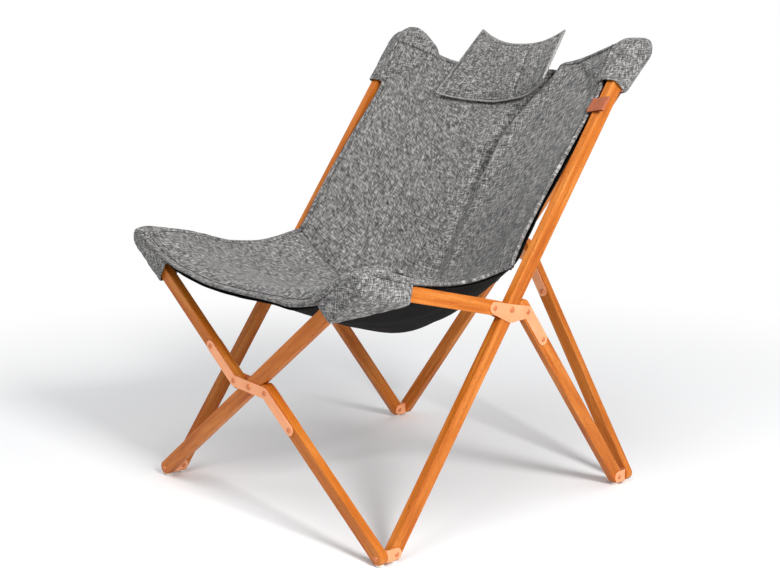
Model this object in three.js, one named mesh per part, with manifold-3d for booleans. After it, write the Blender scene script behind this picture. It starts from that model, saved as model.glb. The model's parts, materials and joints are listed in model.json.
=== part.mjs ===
// A folding butterfly sling chair: four scissor pairs of wooden bars in a ring, riveted plates at the
// crossings, a folded bracket at each corner, and a sling that hangs by pockets from the upper corners.
// Millimetres. x runs to the right as seen from the front, y to the back, z up.
import * as THREE from "three";
import { mergeVertices } from "three/addons/utils/BufferGeometryUtils.js";
import { ConvexGeometry } from "three/addons/geometries/ConvexGeometry.js";
import Module from "manifold-3d";

// Frame sizes, between rivet centres
const halfWidth = 336; // the chair's middle to the middle plane of a side frame
const depthAtFeet = 686.6; // foot rivets of the front bars to those of the back bars
const frontRise = 499; // foot rivet to upper rivet, up the front plane
const backRise = 873.2; // foot rivet to upper rivet, up the back plane
const frontLean = THREE.MathUtils.degToRad(4.7); // the front plane leans to the front
const backLean = THREE.MathUtils.degToRad(0.44); // the back plane leans to the back
const sidePivotReach = 494.9; // foot rivet to crossing rivet, along the long side bar
const armPinDrop = 13.4; // the seat arm's rivet lies lower than the front bar's

// Bars
const barWidth = 28;
const barThickness = 17.5;
const barArris = 1.2;
const barRest = 0.5; // a cut bar's round end stops this far from the bar it leans on
const footFlat = 12.7; // foot rivet to the flat that carries the glide
const frontBarOffset = 29.4; // crossing rivet to the middle line of each half of the offset bar
const rearLegOffset = 29;
const backBarOffset = 41.4;

// Crossing plates: the first rivet from the bar's end centre, then the spacing to the second
const frontRivetInset = 2.8;
const frontRivetSpacing = 87.9;
const backRivetInset = 28;
const backRivetSpacing = 83.1;
const legRivetInset = 13.6;
const legRivetSpacing = 74.4;
const armHingeForward = 46.3; // crossing rivet to the rivet that the seat arm turns on
const armHingeRise = 9.9;
const sheetThickness = 2;
const plateRadius = 11.5;
const plateMiddleRadius = 17.3; // the side plate is deeper round its crossing rivet
const plateMiddleDrop = 7.4;

// Corner brackets
const bracketReach = 31.4; // from the crossbar's rivet to the side bar's
const bracketRadius = 12;
const bracketBend = 2.2; // inside radius of the fold
const bracketSheet = 2.4;

// Rivets
const shankRadius = 2.6;
const shankClearance = 0.4;
const headRadius = 5.6;
const headRise = 2.6;
const crownShare = 0.62; // of the head's radius, where its dome turns
const domeShare = 0.8; // of the head's rise, at the same place

// Glides
const glideRadius = 7.6;
const glideRise = 4.9;
const nailRadius = 1.1;
const nailLength = 6.5;
const glideFlatShare = 0.3; // of its radius, flat on the floor
const glideRimShares = [0.7, 0.85]; // of its radius and of its rise
const glideShoulderShares = [0.94, 0.5];

// Cloth
const coverThickness = 4;
const liningThickness = 1.8;
const coverSideClearance = 11.25; // from the cover's edge to a long bar's inner face
const coverHalfWidth = halfWidth - barThickness / 2 - coverSideClearance;
const creaseGap = 0.6;
const pocketCloth = 3;
const pocketEase = 4.5; // free space between a pocket and the bars inside it
const pocketSeat = 0.8; // the same where it hangs on the bar ends
const pocketDepth = 98; // from the upper rivet down a bar to the pocket's mouth
const liningEdgeGap = 5;
const liningSeatGap = 26;
const liningBackGap = 15;
const liningFrontShare = 0.3; // the lining is this much narrower at the front hem
const liningNarrowShare = 0.25;
const liningSlackShares = [0.3, 0.8]; // it hangs less from the first place to the second
const pocketRoundShare = 0.8; // a pocket's corners are cut back to this share of its half width

// Headrest and tab
const pillowBottomHalf = 156;
const pillowTopHalf = 118;
const pillowBottomShares = [0.88844, 0.91617]; // its lower corners, of depthAtFeet and backRise
const pillowTopShares = [1.04282, 1.03756]; // its upper corners
const pillowSagBottom = [28, -45]; // how far its edges hang in at the middle, in y and z
const pillowSagTop = [-22, -30];
const pillowCrown = 13;
const pillowSeam = 1.6;
const pillowFullness = [4, 3]; // powers of its swell across and along
const tabShare = 0.85; // its place along the sling's edge, from the front hem
const tabLength = 24;
const tabReach = 15;
const tabLeather = 1.6;

// Fits and facets
const touch = 0.3;
const overrun = 3;
const roundSteps = 8;
const seatGrid = [16, 12]; // facets across and along
const backGrid = [16, 16];
const seatLiningGrid = [10, 8];
const backLiningGrid = [10, 10];
const pillowGrid = [14, 8];
const nudge = 1e-3;

const wasm = await Module();
wasm.setup();

const material = (color, roughness, metalness = 0) => {
  return new THREE.MeshStandardMaterial({ color, roughness, metalness });
};
const wood = material(0xc4763a, 0.5);
const copper = material(0xe0926c, 0.38, 0.85);
const plastic = material(0xe9e6df, 0.45);
const heather = material(0x8a8886, 0.95);
const black = material(0x151515, 0.9);
const leather = material(0x7a3b1c, 0.6);

const chair = new THREE.Group();
const model = new THREE.Group();
model.add(chair);

const vec = (x, y) => new THREE.Vector2(x, y);
const cross = (a, b) => a.x * b.y - a.y * b.x;
const polar = (angle, length = 1) => vec(Math.cos(angle) * length, Math.sin(angle) * length);

function toSolid(geometry) {
  const bare = geometry.clone();
  bare.deleteAttribute("normal");
  bare.deleteAttribute("uv");
  const merged = mergeVertices(bare);
  const mesh = new wasm.Mesh({
    numProp: 3,
    vertProperties: merged.attributes.position.array,
    triVerts: new Uint32Array(merged.index.array),
  });
  return new wasm.Manifold(mesh);
}

function toGeometry(solid) {
  const mesh = solid.getMesh();
  const geometry = new THREE.BufferGeometry();
  geometry.setAttribute("position", new THREE.BufferAttribute(mesh.vertProperties, 3));
  geometry.setIndex(new THREE.BufferAttribute(mesh.triVerts, 1));
  geometry.computeVertexNormals();
  return geometry;
}

function place(group, name, shape, finish) {
  const geometry = shape.isBufferGeometry ? shape : toGeometry(shape);
  const mesh = new THREE.Mesh(geometry, finish);
  mesh.name = name;
  group.add(mesh);
  return mesh;
}

// A flat shape made solid between two levels of z
function slab(points, bottom, top) {
  const depth = top - bottom;
  const geometry = new THREE.ExtrudeGeometry(new THREE.Shape(points), { depth, bevelEnabled: false });
  return geometry.translate(0, 0, bottom);
}

function pin(at, radius, bottom, top) {
  const geometry = new THREE.CylinderGeometry(radius, radius, top - bottom, roundSteps);
  geometry.rotateX(Math.PI / 2).translate(at.x, at.y, (bottom + top) / 2);
  return geometry;
}

// The outline round two discs, counter-clockwise
function linkOutline(a, b, radiusA, radiusB) {
  const along = b.clone().sub(a);
  const heading = along.angle();
  const lap = Math.acos((radiusA - radiusB) / along.length());
  const sweepA = 2 * Math.PI - 2 * lap;
  const points = [];
  for (let k = 0; k <= roundSteps; k += 1) {
    points.push(polar(heading + lap + (sweepA * k) / roundSteps, radiusA).add(a));
  }
  for (let k = 0; k <= roundSteps; k += 1) {
    points.push(polar(heading - lap + (2 * lap * k) / roundSteps, radiusB).add(b));
  }
  return points;
}

// A bar's outline from one end centre to the other, with the flat for a glide under a foot end
function barOutline(from, to, isFoot) {
  const radius = barWidth / 2;
  const heading = to.clone().sub(from).angle();
  const down = 1.5 * Math.PI;
  const half = Math.acos(footFlat / radius);
  let angles = [];
  for (let k = 0; k <= roundSteps; k += 1) angles.push(heading + Math.PI / 2 + (Math.PI * k) / roundSteps);
  if (isFoot) {
    const spare = Math.PI / (3 * roundSteps);
    angles = angles.filter((angle) => Math.abs(angle - down) > half + spare);
    angles.push(down - half, down + half);
    angles.sort((p, q) => p - q);
  }
  const points = angles.map((angle) => polar(angle, radius).add(from));
  for (let k = 0; k <= roundSteps; k += 1) {
    points.push(polar(heading - Math.PI / 2 + (Math.PI * k) / roundSteps, radius).add(to));
  }
  return points;
}

// A bar with broken arrises, its rivet holes, and the nail hole of its glide
function bar(from, to, holes, isFoot) {
  const shape = new THREE.Shape(barOutline(from, to, isFoot));
  const geometry = new THREE.ExtrudeGeometry(shape, {
    depth: barThickness - 2 * barArris,
    bevelThickness: barArris,
    bevelSize: barArris,
    bevelOffset: -barArris,
    bevelSegments: 1,
  });
  let solid = toSolid(geometry.translate(0, 0, barArris - barThickness / 2));
  const reach = barThickness / 2 + overrun;
  holes.forEach((at) => {
    solid = solid.subtract(toSolid(pin(at, shankRadius + shankClearance, -reach, reach)));
  });
  if (isFoot) {
    const radius = nailRadius + touch;
    const depth = nailLength + 2 * touch;
    const hole = new THREE.CylinderGeometry(radius, radius, depth + overrun, roundSteps);
    hole.translate(from.x, from.y - footFlat + (depth - overrun) / 2, 0);
    solid = solid.subtract(toSolid(hole));
  }
  return solid;
}

function glide() {
  const profile = [
    vec(0, -glideRise),
    vec(glideRadius * glideFlatShare, -glideRise),
    vec(glideRadius * glideRimShares[0], -glideRise * glideRimShares[1]),
    vec(glideRadius * glideShoulderShares[0], -glideRise * glideShoulderShares[1]),
    vec(glideRadius, 0),
    vec(nailRadius, 0),
    vec(nailRadius, nailLength),
    vec(0, nailLength),
  ];
  return new THREE.LatheGeometry(profile, roundSteps + 2);
}

// A round-headed rivet on the z axis whose heads sit on the two levels given
function rivet(at, bottom, top, hasTail = true) {
  const crown = headRadius * crownShare;
  const dome = headRise * domeShare;
  const profile = [vec(0, bottom - headRise), vec(crown, bottom - dome), vec(headRadius, bottom)];
  if (!hasTail) profile.splice(0, 3, vec(0, bottom));
  profile.push(vec(shankRadius, bottom), vec(shankRadius, top), vec(headRadius, top));
  profile.push(vec(crown, top + dome), vec(0, top + headRise));
  const geometry = new THREE.LatheGeometry(profile, roundSteps);
  return geometry.rotateX(Math.PI / 2).translate(at.x, at.y, 0);
}

// Only the far head of a rivet, flat on the level given
function rivetTail(at, level, direction) {
  const profile = [vec(0, 0), vec(headRadius, 0), vec(headRadius * crownShare, headRise * domeShare)];
  profile.push(vec(0, headRise));
  const geometry = new THREE.LatheGeometry(profile, roundSteps);
  geometry.rotateX((direction * Math.PI) / 2);
  return geometry.translate(at.x, at.y, level);
}

const plateInner = barThickness / 2 + touch;
const plateOuter = plateInner + sheetThickness;

// A plate that follows a chain of discs, each with its centre and radius
function plateBody(discs, bottom, top) {
  let body = null;
  discs.slice(1).forEach((disc, index) => {
    const before = discs[index];
    const outline = linkOutline(before.at, disc.at, before.radius, disc.radius);
    const piece = toSolid(slab(outline, bottom, top));
    body = body ? body.add(piece) : piece;
  });
  return body;
}

// The outer plate carries its fixed rivets, the inner plate has a hole for each
function platePair(group, names, discs, rivets, pivot) {
  const far = plateOuter + touch;
  let outer = plateBody(discs, plateInner, plateOuter);
  let inner = plateBody(discs, -plateOuter, -plateInner);
  rivets.forEach((at) => {
    outer = outer.add(toSolid(rivet(at, -far, plateOuter)));
    inner = inner.subtract(toSolid(pin(at, shankRadius + shankClearance, -far, 0)));
  });
  const bore = toSolid(pin(pivot, shankRadius + shankClearance, -far, far));
  place(group, names[0], outer.subtract(bore), copper);
  place(group, names[1], inner.subtract(bore), copper);
  place(group, names[2], rivet(pivot, -far, far), copper);
}

// A cut bar that runs from its end rivet past the crossing rivet at a given offset and stops
// beside the straight bar. Returns its end centre and its heading from there to the end rivet.
function cutBar(endPin, pivot, offset, straight) {
  const span = endPin.clone().sub(pivot);
  const heading = span.angle() - Math.asin(offset / span.length());
  const away = polar(heading);
  const rest = barWidth + barRest;
  const start = cross(straight, span);
  const travel = (Math.sign(start) * rest - start) / cross(straight, away);
  const end = endPin.clone().addScaledVector(away, travel);
  return { end, away };
}

// The crossing of a front or back plane: one straight bar and one bar in two offset halves
function crossbars(group, prefix, rise, offset, inset, spacing) {
  const pivot = vec(0, rise / 2);
  const feet = [vec(-halfWidth, 0), vec(halfWidth, 0)];
  const tops = [vec(halfWidth, rise), vec(-halfWidth, rise)];
  const straight = tops[0].clone().sub(feet[0]).normalize();
  place(group, prefix + "_straight_bar", bar(feet[0], tops[0], [feet[0], pivot, tops[0]], true), wood);
  const lower = cutBar(feet[1], pivot, offset, straight);
  const upper = cutBar(tops[1], pivot, offset, straight);
  const first = [upper, lower].map((half) => half.end.clone().addScaledVector(half.away, inset));
  const second = [upper, lower].map((half) => half.end.clone().addScaledVector(half.away, inset + spacing));
  place(group, prefix + "_lower_bar", bar(feet[1], lower.end, [feet[1], first[1], second[1]], true), wood);
  place(group, prefix + "_upper_bar", bar(upper.end, tops[1], [first[0], second[0], tops[1]], false), wood);
  const centres = [second[0], first[0], pivot, first[1], second[1]];
  const discs = centres.map((at) => ({ at, radius: plateRadius }));
  const names = [prefix + "_outer_plate", prefix + "_inner_plate", prefix + "_pivot_rivet"];
  platePair(group, names, discs, [...first, ...second], pivot);
}

// Where each corner's rivets lie, in a plane's own x (across), y (up it) and z (to the front)
const frontUp = new THREE.Vector3(0, -Math.sin(frontLean), Math.cos(frontLean));
const backUp = new THREE.Vector3(0, Math.sin(backLean), Math.cos(backLean));
const frontTop = frontUp.clone().multiplyScalar(frontRise);
const backTop = backUp.clone().multiplyScalar(backRise);
backTop.y += depthAtFeet;

// Side frame points, as y and z
const longFoot = vec(bracketReach, 0);
const longTop = vec(backTop.y - bracketReach, backTop.z);
const rearFoot = vec(depthAtFeet - bracketReach, 0);
const armPin = vec(frontTop.y + bracketReach, frontTop.z - armPinDrop);
const longBar = longTop.clone().sub(longFoot).normalize();
const sidePivot = longFoot.clone().addScaledVector(longBar, sidePivotReach);
const armHinge = vec(sidePivot.x - armHingeForward, sidePivot.y + armHingeRise);

function seatArm() {
  const away = armPin.clone().sub(armHinge).normalize();
  const span = armPin.clone().sub(sidePivot);
  const start = cross(longBar, span);
  const travel = (Math.sign(start) * (barWidth + barRest) - start) / cross(longBar, away);
  return armPin.clone().addScaledVector(away, travel);
}

function sideFrame(group, prefix) {
  place(group, prefix + "_long_bar", bar(longFoot, longTop, [longFoot, sidePivot, longTop], true), wood);
  const leg = cutBar(rearFoot, sidePivot, rearLegOffset, longBar);
  const legRivets = [legRivetInset, legRivetInset + legRivetSpacing].map((reach) => {
    return leg.end.clone().addScaledVector(leg.away, reach);
  });
  place(group, prefix + "_rear_leg", bar(rearFoot, leg.end, [rearFoot, ...legRivets], true), wood);
  place(group, prefix + "_seat_arm", bar(seatArm(), armPin, [armHinge, armPin], false), wood);
  const middle = vec(sidePivot.x, sidePivot.y - plateMiddleDrop);
  const discs = [
    { at: armHinge, radius: plateRadius },
    { at: middle, radius: plateMiddleRadius },
    { at: legRivets[0], radius: plateRadius },
    { at: legRivets[1], radius: plateRadius },
  ];
  const names = [prefix + "_outer_plate", prefix + "_inner_plate", prefix + "_pivot_rivet"];
  platePair(group, names, discs, [armHinge, ...legRivets], sidePivot);
}

// A corner bracket: one flange on the crossbars' inside face, one on the side bar's face. Its own
// pin is the side bar's rivet. inward is -1 behind the front plane and 1 before the back plane.
function bracket(sidePin, inward, isOpen) {
  const face = barThickness / 2 + touch;
  const outerX = face + bracketSheet;
  const bend = bracketBend + bracketSheet;
  const far = sidePin.z * inward + bracketRadius;
  const profile = [vec(-bracketRadius, face)];
  for (let k = 0; k <= roundSteps / 2; k += 1) {
    const turn = polar((-Math.PI / 2) * (1 - (2 * k) / roundSteps), bend);
    profile.push(turn.add(vec(outerX - bend, face + bend)));
  }
  profile.push(vec(outerX, far), vec(face, far));
  for (let k = 0; k <= roundSteps / 2; k += 1) {
    const turn = polar((-Math.PI / 2) * ((2 * k) / roundSteps), bracketBend);
    profile.push(turn.add(vec(outerX - bend, face + bend)));
  }
  profile.push(vec(-bracketRadius, face + bracketSheet));
  const tall = 2 * bracketRadius + Math.abs(sidePin.y);
  const bent = slab(profile.map((at) => vec(at.x, at.y * inward)), -tall, tall).rotateX(Math.PI / 2);
  const frontShape = [vec(outerX + overrun, -bracketRadius), vec(outerX + overrun, bracketRadius)];
  const sideShape = [vec(0, -bracketRadius), vec(0, bracketRadius)];
  for (let k = 0; k <= roundSteps; k += 1) {
    frontShape.push(polar(Math.PI / 2 + (Math.PI * k) / roundSteps, bracketRadius));
    const turn = polar(Math.PI / 2 - (inward * Math.PI * k) / roundSteps, bracketRadius);
    sideShape.push(turn.add(vec(sidePin.z, sidePin.y)));
  }
  const wide = 2 * outerX;
  const frontCut = slab(frontShape, -far - overrun, far + overrun);
  const sideCut = slab(sideShape, -wide, wide).rotateY(-Math.PI / 2);
  let solid = toSolid(bent).intersect(toSolid(frontCut)).intersect(toSolid(sideCut));
  const sideRivet = rivet(vec(0, 0), -face, outerX).rotateY(Math.PI / 2);
  solid = solid.add(toSolid(sideRivet.translate(0, sidePin.y, sidePin.z)));
  const crossLevel = face + bracketSheet;
  if (isOpen) return solid.add(toSolid(rivetTail(vec(0, 0), crossLevel * inward, inward)));
  const levels = [0, (crossLevel + overrun) * inward].sort((a, b) => a - b);
  return solid.subtract(toSolid(pin(vec(0, 0), shankRadius + shankClearance, ...levels)));
}

// The rivet that joins a crossbar to its bracket, its head on the bar's outside face. At a pivot
// where the closed linkage is opened it rides in the bar and stops short of the bracket.
function crossRivet(at, inward, isOpen) {
  const head = barThickness / 2 + touch;
  const tail = isOpen ? barThickness / 2 : barThickness / 2 + bracketSheet + 2 * touch;
  const geometry = rivet(vec(0, 0), -tail, head, !isOpen);
  if (inward > 0) geometry.rotateY(Math.PI);
  return geometry.translate(at.x, at.y, 0);
}

function inPlane(up, offset) {
  const out = new THREE.Vector3(1, 0, 0).cross(up);
  return { y: offset.dot(up), z: offset.dot(out) };
}

// The two corners of one level in a front or back plane
function corners(group, names, height, sidePin, inward, openSides) {
  [1, -1].forEach((side, index) => {
    const isOpen = openSides.includes(side);
    const at = vec(side * halfWidth, height);
    const corner = place(group, names[index] + "_bracket", bracket(sidePin, inward, isOpen), copper);
    corner.position.set(at.x, at.y, 0);
    place(group, names[index] + "_rivet", crossRivet(at, inward, isOpen), copper);
  });
}

function glides(group, feet) {
  feet.forEach(([name, x, y]) => {
    place(group, name + "_glide", glide(), plastic).position.set(x, y - footFlat - touch, 0);
  });
}

// A cloth with a front and a back face. surface(u, v) gives its middle, u from -1 to 1 across and v
// from 0 to 1 along, and thick(u, v) how far each face lies from it.
function cloth(surface, thick, [across, along]) {
  const layers = [1, -1].map((side) => {
    const rows = [];
    for (let j = 0; j <= along; j += 1) {
      for (let i = 0; i <= across; i += 1) {
        const u = -1 + (2 * i) / across;
        const v = j / along;
        const here = surface(u, v);
        const du = surface(u + nudge, v).sub(surface(u - nudge, v));
        const dv = surface(u, v + nudge).sub(surface(u, v - nudge));
        const normal = du.cross(dv).normalize();
        rows.push(here.addScaledVector(normal, side * thick(u, v)));
      }
    }
    return rows;
  });
  const count = layers[0].length;
  const positions = layers.flat().flatMap((point) => point.toArray());
  const faces = [];
  const id = (layer, i, j) => layer * count + j * (across + 1) + i;
  const quad = (a, b, c, d) => faces.push(a, b, c, a, c, d);
  for (let j = 0; j < along; j += 1) {
    for (let i = 0; i < across; i += 1) {
      quad(id(0, i, j), id(0, i + 1, j), id(0, i + 1, j + 1), id(0, i, j + 1));
      quad(id(1, i, j), id(1, i, j + 1), id(1, i + 1, j + 1), id(1, i + 1, j));
    }
    quad(id(0, 0, j), id(0, 0, j + 1), id(1, 0, j + 1), id(1, 0, j));
    quad(id(0, across, j), id(1, across, j), id(1, across, j + 1), id(0, across, j + 1));
  }
  for (let i = 0; i < across; i += 1) {
    quad(id(0, i, 0), id(1, i, 0), id(1, i + 1, 0), id(0, i + 1, 0));
    quad(id(0, i, along), id(0, i + 1, along), id(1, i + 1, along), id(1, i, along));
  }
  const geometry = new THREE.BufferGeometry();
  geometry.setAttribute("position", new THREE.Float32BufferAttribute(positions, 3));
  geometry.setIndex(faces);
  return geometry;
}

// Stations of the sling from its front hem to its crease and from there to its top hem: the side
// edge's and the middle line's y and z, as shares of the depth at the feet and of the back's rise,
// and the power that shapes the cloth between them.
const slingShares = [
  { edge: [-0.073, 0.556], middle: [-0.085, 0.497], power: 2.6 },
  { edge: [0.0, 0.584], middle: [-0.022, 0.512], power: 2.4 },
  { edge: [0.117, 0.562], middle: [0.109, 0.481], power: 2.1 },
  { edge: [0.233, 0.535], middle: [0.24, 0.44], power: 1.8 },
  { edge: [0.371, 0.53], middle: [0.382, 0.402], power: 1.5 },
  { edge: [0.502, 0.554], middle: [0.502, 0.381], power: 1.35 },
  { edge: [0.571, 0.62], middle: [0.6, 0.409], power: 1.4 },
  { edge: [0.641, 0.692], middle: [0.663, 0.483], power: 1.5 },
  { edge: [0.728, 0.775], middle: [0.735, 0.596], power: 1.6 },
  { edge: [0.816, 0.857], middle: [0.823, 0.721], power: 1.6 },
  { edge: [0.891, 0.93], middle: [0.912, 0.83], power: 1.4 },
  { edge: [0.947, 1.008], middle: [1.002, 0.924], power: 1.2 },
];

function slingSurface(shares) {
  const line = (key) => {
    return new THREE.SplineCurve(shares.map((row) => {
      return vec(row[key][0] * depthAtFeet, row[key][1] * backRise);
    }));
  };
  const edge = line("edge");
  const middle = line("middle");
  const power = new THREE.SplineCurve(shares.map((row, index) => vec(index, row.power)));
  return (u, v) => {
    const inside = THREE.MathUtils.clamp(v, 0, 1);
    const overshoot = v - inside;
    const ease = Math.abs(u) ** power.getPoint(inside).y;
    const at = middle.getPoint(inside).lerp(edge.getPoint(inside), ease);
    const ahead = middle.getTangent(inside).multiplyScalar(overshoot * depthAtFeet);
    return new THREE.Vector3(u * coverHalfWidth, at.x + ahead.x, at.y + ahead.y);
  };
}

// The seat ends and the back begins at the crease, the sixth station
const sling = slingSurface(slingShares);
const creaseAt = 5 / (slingShares.length - 1);
const creaseShare = creaseGap / (2 * depthAtFeet);
const toCrease = (surface) => (u, v) => surface(u, v * (creaseAt - creaseShare));
const fromCrease = (surface) => (u, v) => surface(u, 1 - (1 - v) * (1 - creaseAt - creaseShare));

// The black under-sling hangs below the cover, close to it at the edges
function liningSurface(u, v) {
  const atFront = Math.max(0, 1 - v / liningNarrowShare);
  const side = u * (1 - liningFrontShare * atFront ** 2);
  const here = sling(side, v);
  const du = sling(side + nudge, v).sub(sling(side - nudge, v));
  const dv = sling(side, v + nudge).sub(sling(side, v - nudge));
  const normal = du.cross(dv).normalize();
  const backed = THREE.MathUtils.smoothstep(v, ...liningSlackShares);
  const hang = THREE.MathUtils.lerp(liningSeatGap, liningBackGap, backed);
  return here.addScaledVector(normal, -(coverThickness + liningEdgeGap + hang * (1 - u * u)));
}

// The space round an upper corner's bar ends: its tip and the mouths on the crossbar and side bar
function cornerHull(corner, crossDown, ease, stretch) {
  const half = barWidth / 2 + ease;
  const deep = barThickness / 2 + ease;
  const points = [];
  const ring = (at, across, along, through, depth) => {
    [1, -1].forEach((p) => {
      [1, -1].forEach((q) => {
        const point = at.clone().addScaledVector(along, depth);
        points.push(point.addScaledVector(across, p * half).addScaledVector(through, q * deep));
      });
    });
  };
  const { crossPin, crossNormal, sidePin, sideDown } = corner;
  const sideways = new THREE.Vector3(1, 0, 0);
  const crossWide = crossDown.clone().cross(crossNormal);
  const sideWide = sideDown.clone().cross(sideways);
  ring(crossPin, crossWide, crossDown, crossNormal, pocketDepth + stretch);
  ring(sidePin, sideWide, sideDown, sideways, pocketDepth + stretch);
  const cap = barThickness / 2 + bracketSheet + headRise + ease;
  const roof = barWidth / 2 + pocketSeat + ease - pocketEase;
  const up = crossNormal.clone().cross(sideways);
  const outline = [[half, 0], [-half, 0]];
  [roof, -half].forEach((rise) => {
    const round = rise * pocketRoundShare;
    outline.push([0, rise], [round, round], [-round, round]);
  });
  outline.forEach(([across, rise]) => {
    [cap, -cap].forEach((out) => {
      points.push(sidePin.clone().add(new THREE.Vector3(out, across, rise)));
      const end = crossPin.clone().addScaledVector(crossNormal, out);
      points.push(end.addScaledVector(sideways, across).addScaledVector(up, rise));
    });
  });
  return toSolid(new ConvexGeometry(points));
}

function mirrored(solid) {
  const geometry = toGeometry(solid);
  geometry.scale(-1, 1, 1);
  const order = geometry.index.array;
  for (let k = 0; k < order.length; k += 3) [order[k + 1], order[k + 2]] = [order[k + 2], order[k + 1]];
  return toSolid(geometry);
}

const biggest = (solid) => solid.decompose().sort((a, b) => b.volume() - a.volume())[0];

const toSpace = (x, at) => new THREE.Vector3(x, at.x, at.y);

// The ways down from an upper right corner along the straight bar, and along the offset bar if its
// corner were mirrored to the right
function waysDown(up, rise, offset) {
  const straight = vec(2 * halfWidth, rise).normalize();
  const { away } = cutBar(vec(-halfWidth, rise), vec(0, rise / 2), offset, straight);
  return [straight.clone().negate(), vec(away.x, -away.y)].map((way) => {
    return up.clone().multiplyScalar(way.y).setX(way.x);
  });
}

const seatCorner = {
  crossPin: frontTop.clone().setX(halfWidth),
  crossDowns: waysDown(frontUp, frontRise, frontBarOffset),
  crossNormal: new THREE.Vector3(1, 0, 0).cross(frontUp),
  sidePin: toSpace(halfWidth, armPin),
  sideDown: toSpace(0, armHinge.clone().sub(armPin).normalize()),
};
const topCorner = {
  crossPin: backTop.clone().setX(halfWidth),
  crossDowns: waysDown(backUp, backRise, backBarOffset),
  crossNormal: new THREE.Vector3(1, 0, 0).cross(backUp),
  sidePin: toSpace(halfWidth, longTop),
  sideDown: toSpace(0, longBar.clone().negate()),
};

function pockets(group, names, corner) {
  const [right, left] = corner.crossDowns.map((down) => {
    const outside = cornerHull(corner, down, pocketEase + pocketCloth, 0);
    return outside.subtract(cornerHull(corner, down, pocketEase, overrun));
  });
  place(group, names[0], right, heather);
  place(group, names[1], mirrored(left), heather);
  const clear = corner.crossDowns.map((down) => {
    return cornerHull(corner, down, pocketEase + pocketCloth + touch, 0);
  });
  return clear[0].add(mirrored(clear[1]));
}

function pillowSurface() {
  const [low, high] = [pillowBottomShares, pillowTopShares].map(([y, z]) => vec(y * depthAtFeet, z * backRise));
  const sagLow = new THREE.Vector2(...pillowSagBottom);
  const sagHigh = new THREE.Vector2(...pillowSagTop);
  return (u, v) => {
    const sag = sagLow.clone().lerp(sagHigh, v).multiplyScalar(1 - u * u);
    const at = low.clone().lerp(high, v).add(sag);
    const half = THREE.MathUtils.lerp(pillowBottomHalf, pillowTopHalf, v);
    return new THREE.Vector3(u * half, at.x, at.y);
  };
}

// The block that the folded leather fills; the cloth inside it is cut away from it
function tab() {
  const v = tabShare;
  const at = sling(1, v);
  const along = sling(1, v + nudge).sub(sling(1, v - nudge)).normalize();
  const across = sling(1, v).sub(sling(1 - nudge, v)).normalize();
  const through = along.clone().cross(across).normalize();
  const out = through.clone().cross(along).normalize();
  const outer = coverThickness / 2 + 2 * touch + tabLeather;
  const profile = [
    vec(-tabReach, -outer),
    vec(touch + tabLeather, -outer),
    vec(touch + tabLeather, outer),
    vec(-tabReach, outer),
  ];
  const geometry = slab(profile, -tabLength / 2, tabLength / 2);
  const basis = new THREE.Matrix4().makeBasis(out, through, out.clone().cross(through));
  return geometry.applyMatrix4(basis.setPosition(at));
}

function buildFrame() {
  const front = new THREE.Group();
  front.rotation.x = Math.PI / 2 + frontLean;
  const back = new THREE.Group();
  back.rotation.x = Math.PI / 2 - backLean;
  back.position.y = depthAtFeet;
  chair.add(front, back);
  crossbars(front, "front", frontRise, frontBarOffset, frontRivetInset, frontRivetSpacing);
  crossbars(back, "back", backRise, backBarOffset, backRivetInset, backRivetSpacing);
  const reach = new THREE.Vector3(0, bracketReach, 0);
  const armReach = new THREE.Vector3(0, bracketReach, -armPinDrop);
  const backReach = new THREE.Vector3(0, -bracketReach, 0);
  corners(front, ["front_right_foot", "front_left_foot"], 0, inPlane(frontUp, reach), -1, [1, -1]);
  corners(front, ["seat_right", "seat_left"], frontRise, inPlane(frontUp, armReach), -1, [-1]);
  corners(back, ["rear_right_foot", "rear_left_foot"], 0, inPlane(backUp, backReach), 1, []);
  corners(back, ["top_right", "top_left"], backRise, inPlane(backUp, backReach), 1, [1, -1]);
  glides(front, [["front_right_bar", halfWidth, 0], ["front_left_bar", -halfWidth, 0]]);
  glides(back, [["back_right_bar", halfWidth, 0], ["back_left_bar", -halfWidth, 0]]);
  const axes = [new THREE.Vector3(0, 1, 0), new THREE.Vector3(0, 0, 1), new THREE.Vector3(1, 0, 0)];
  [["right", 1], ["left", -1]].forEach(([prefix, side]) => {
    const group = new THREE.Group();
    group.quaternion.setFromRotationMatrix(new THREE.Matrix4().makeBasis(...axes));
    group.position.x = side * halfWidth;
    chair.add(group);
    sideFrame(group, prefix);
    const feet = [["_long_bar", longFoot], ["_rear_leg", rearFoot]];
    glides(group, feet.map(([name, foot]) => [prefix + name, foot.x, foot.y]));
  });
}

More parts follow.
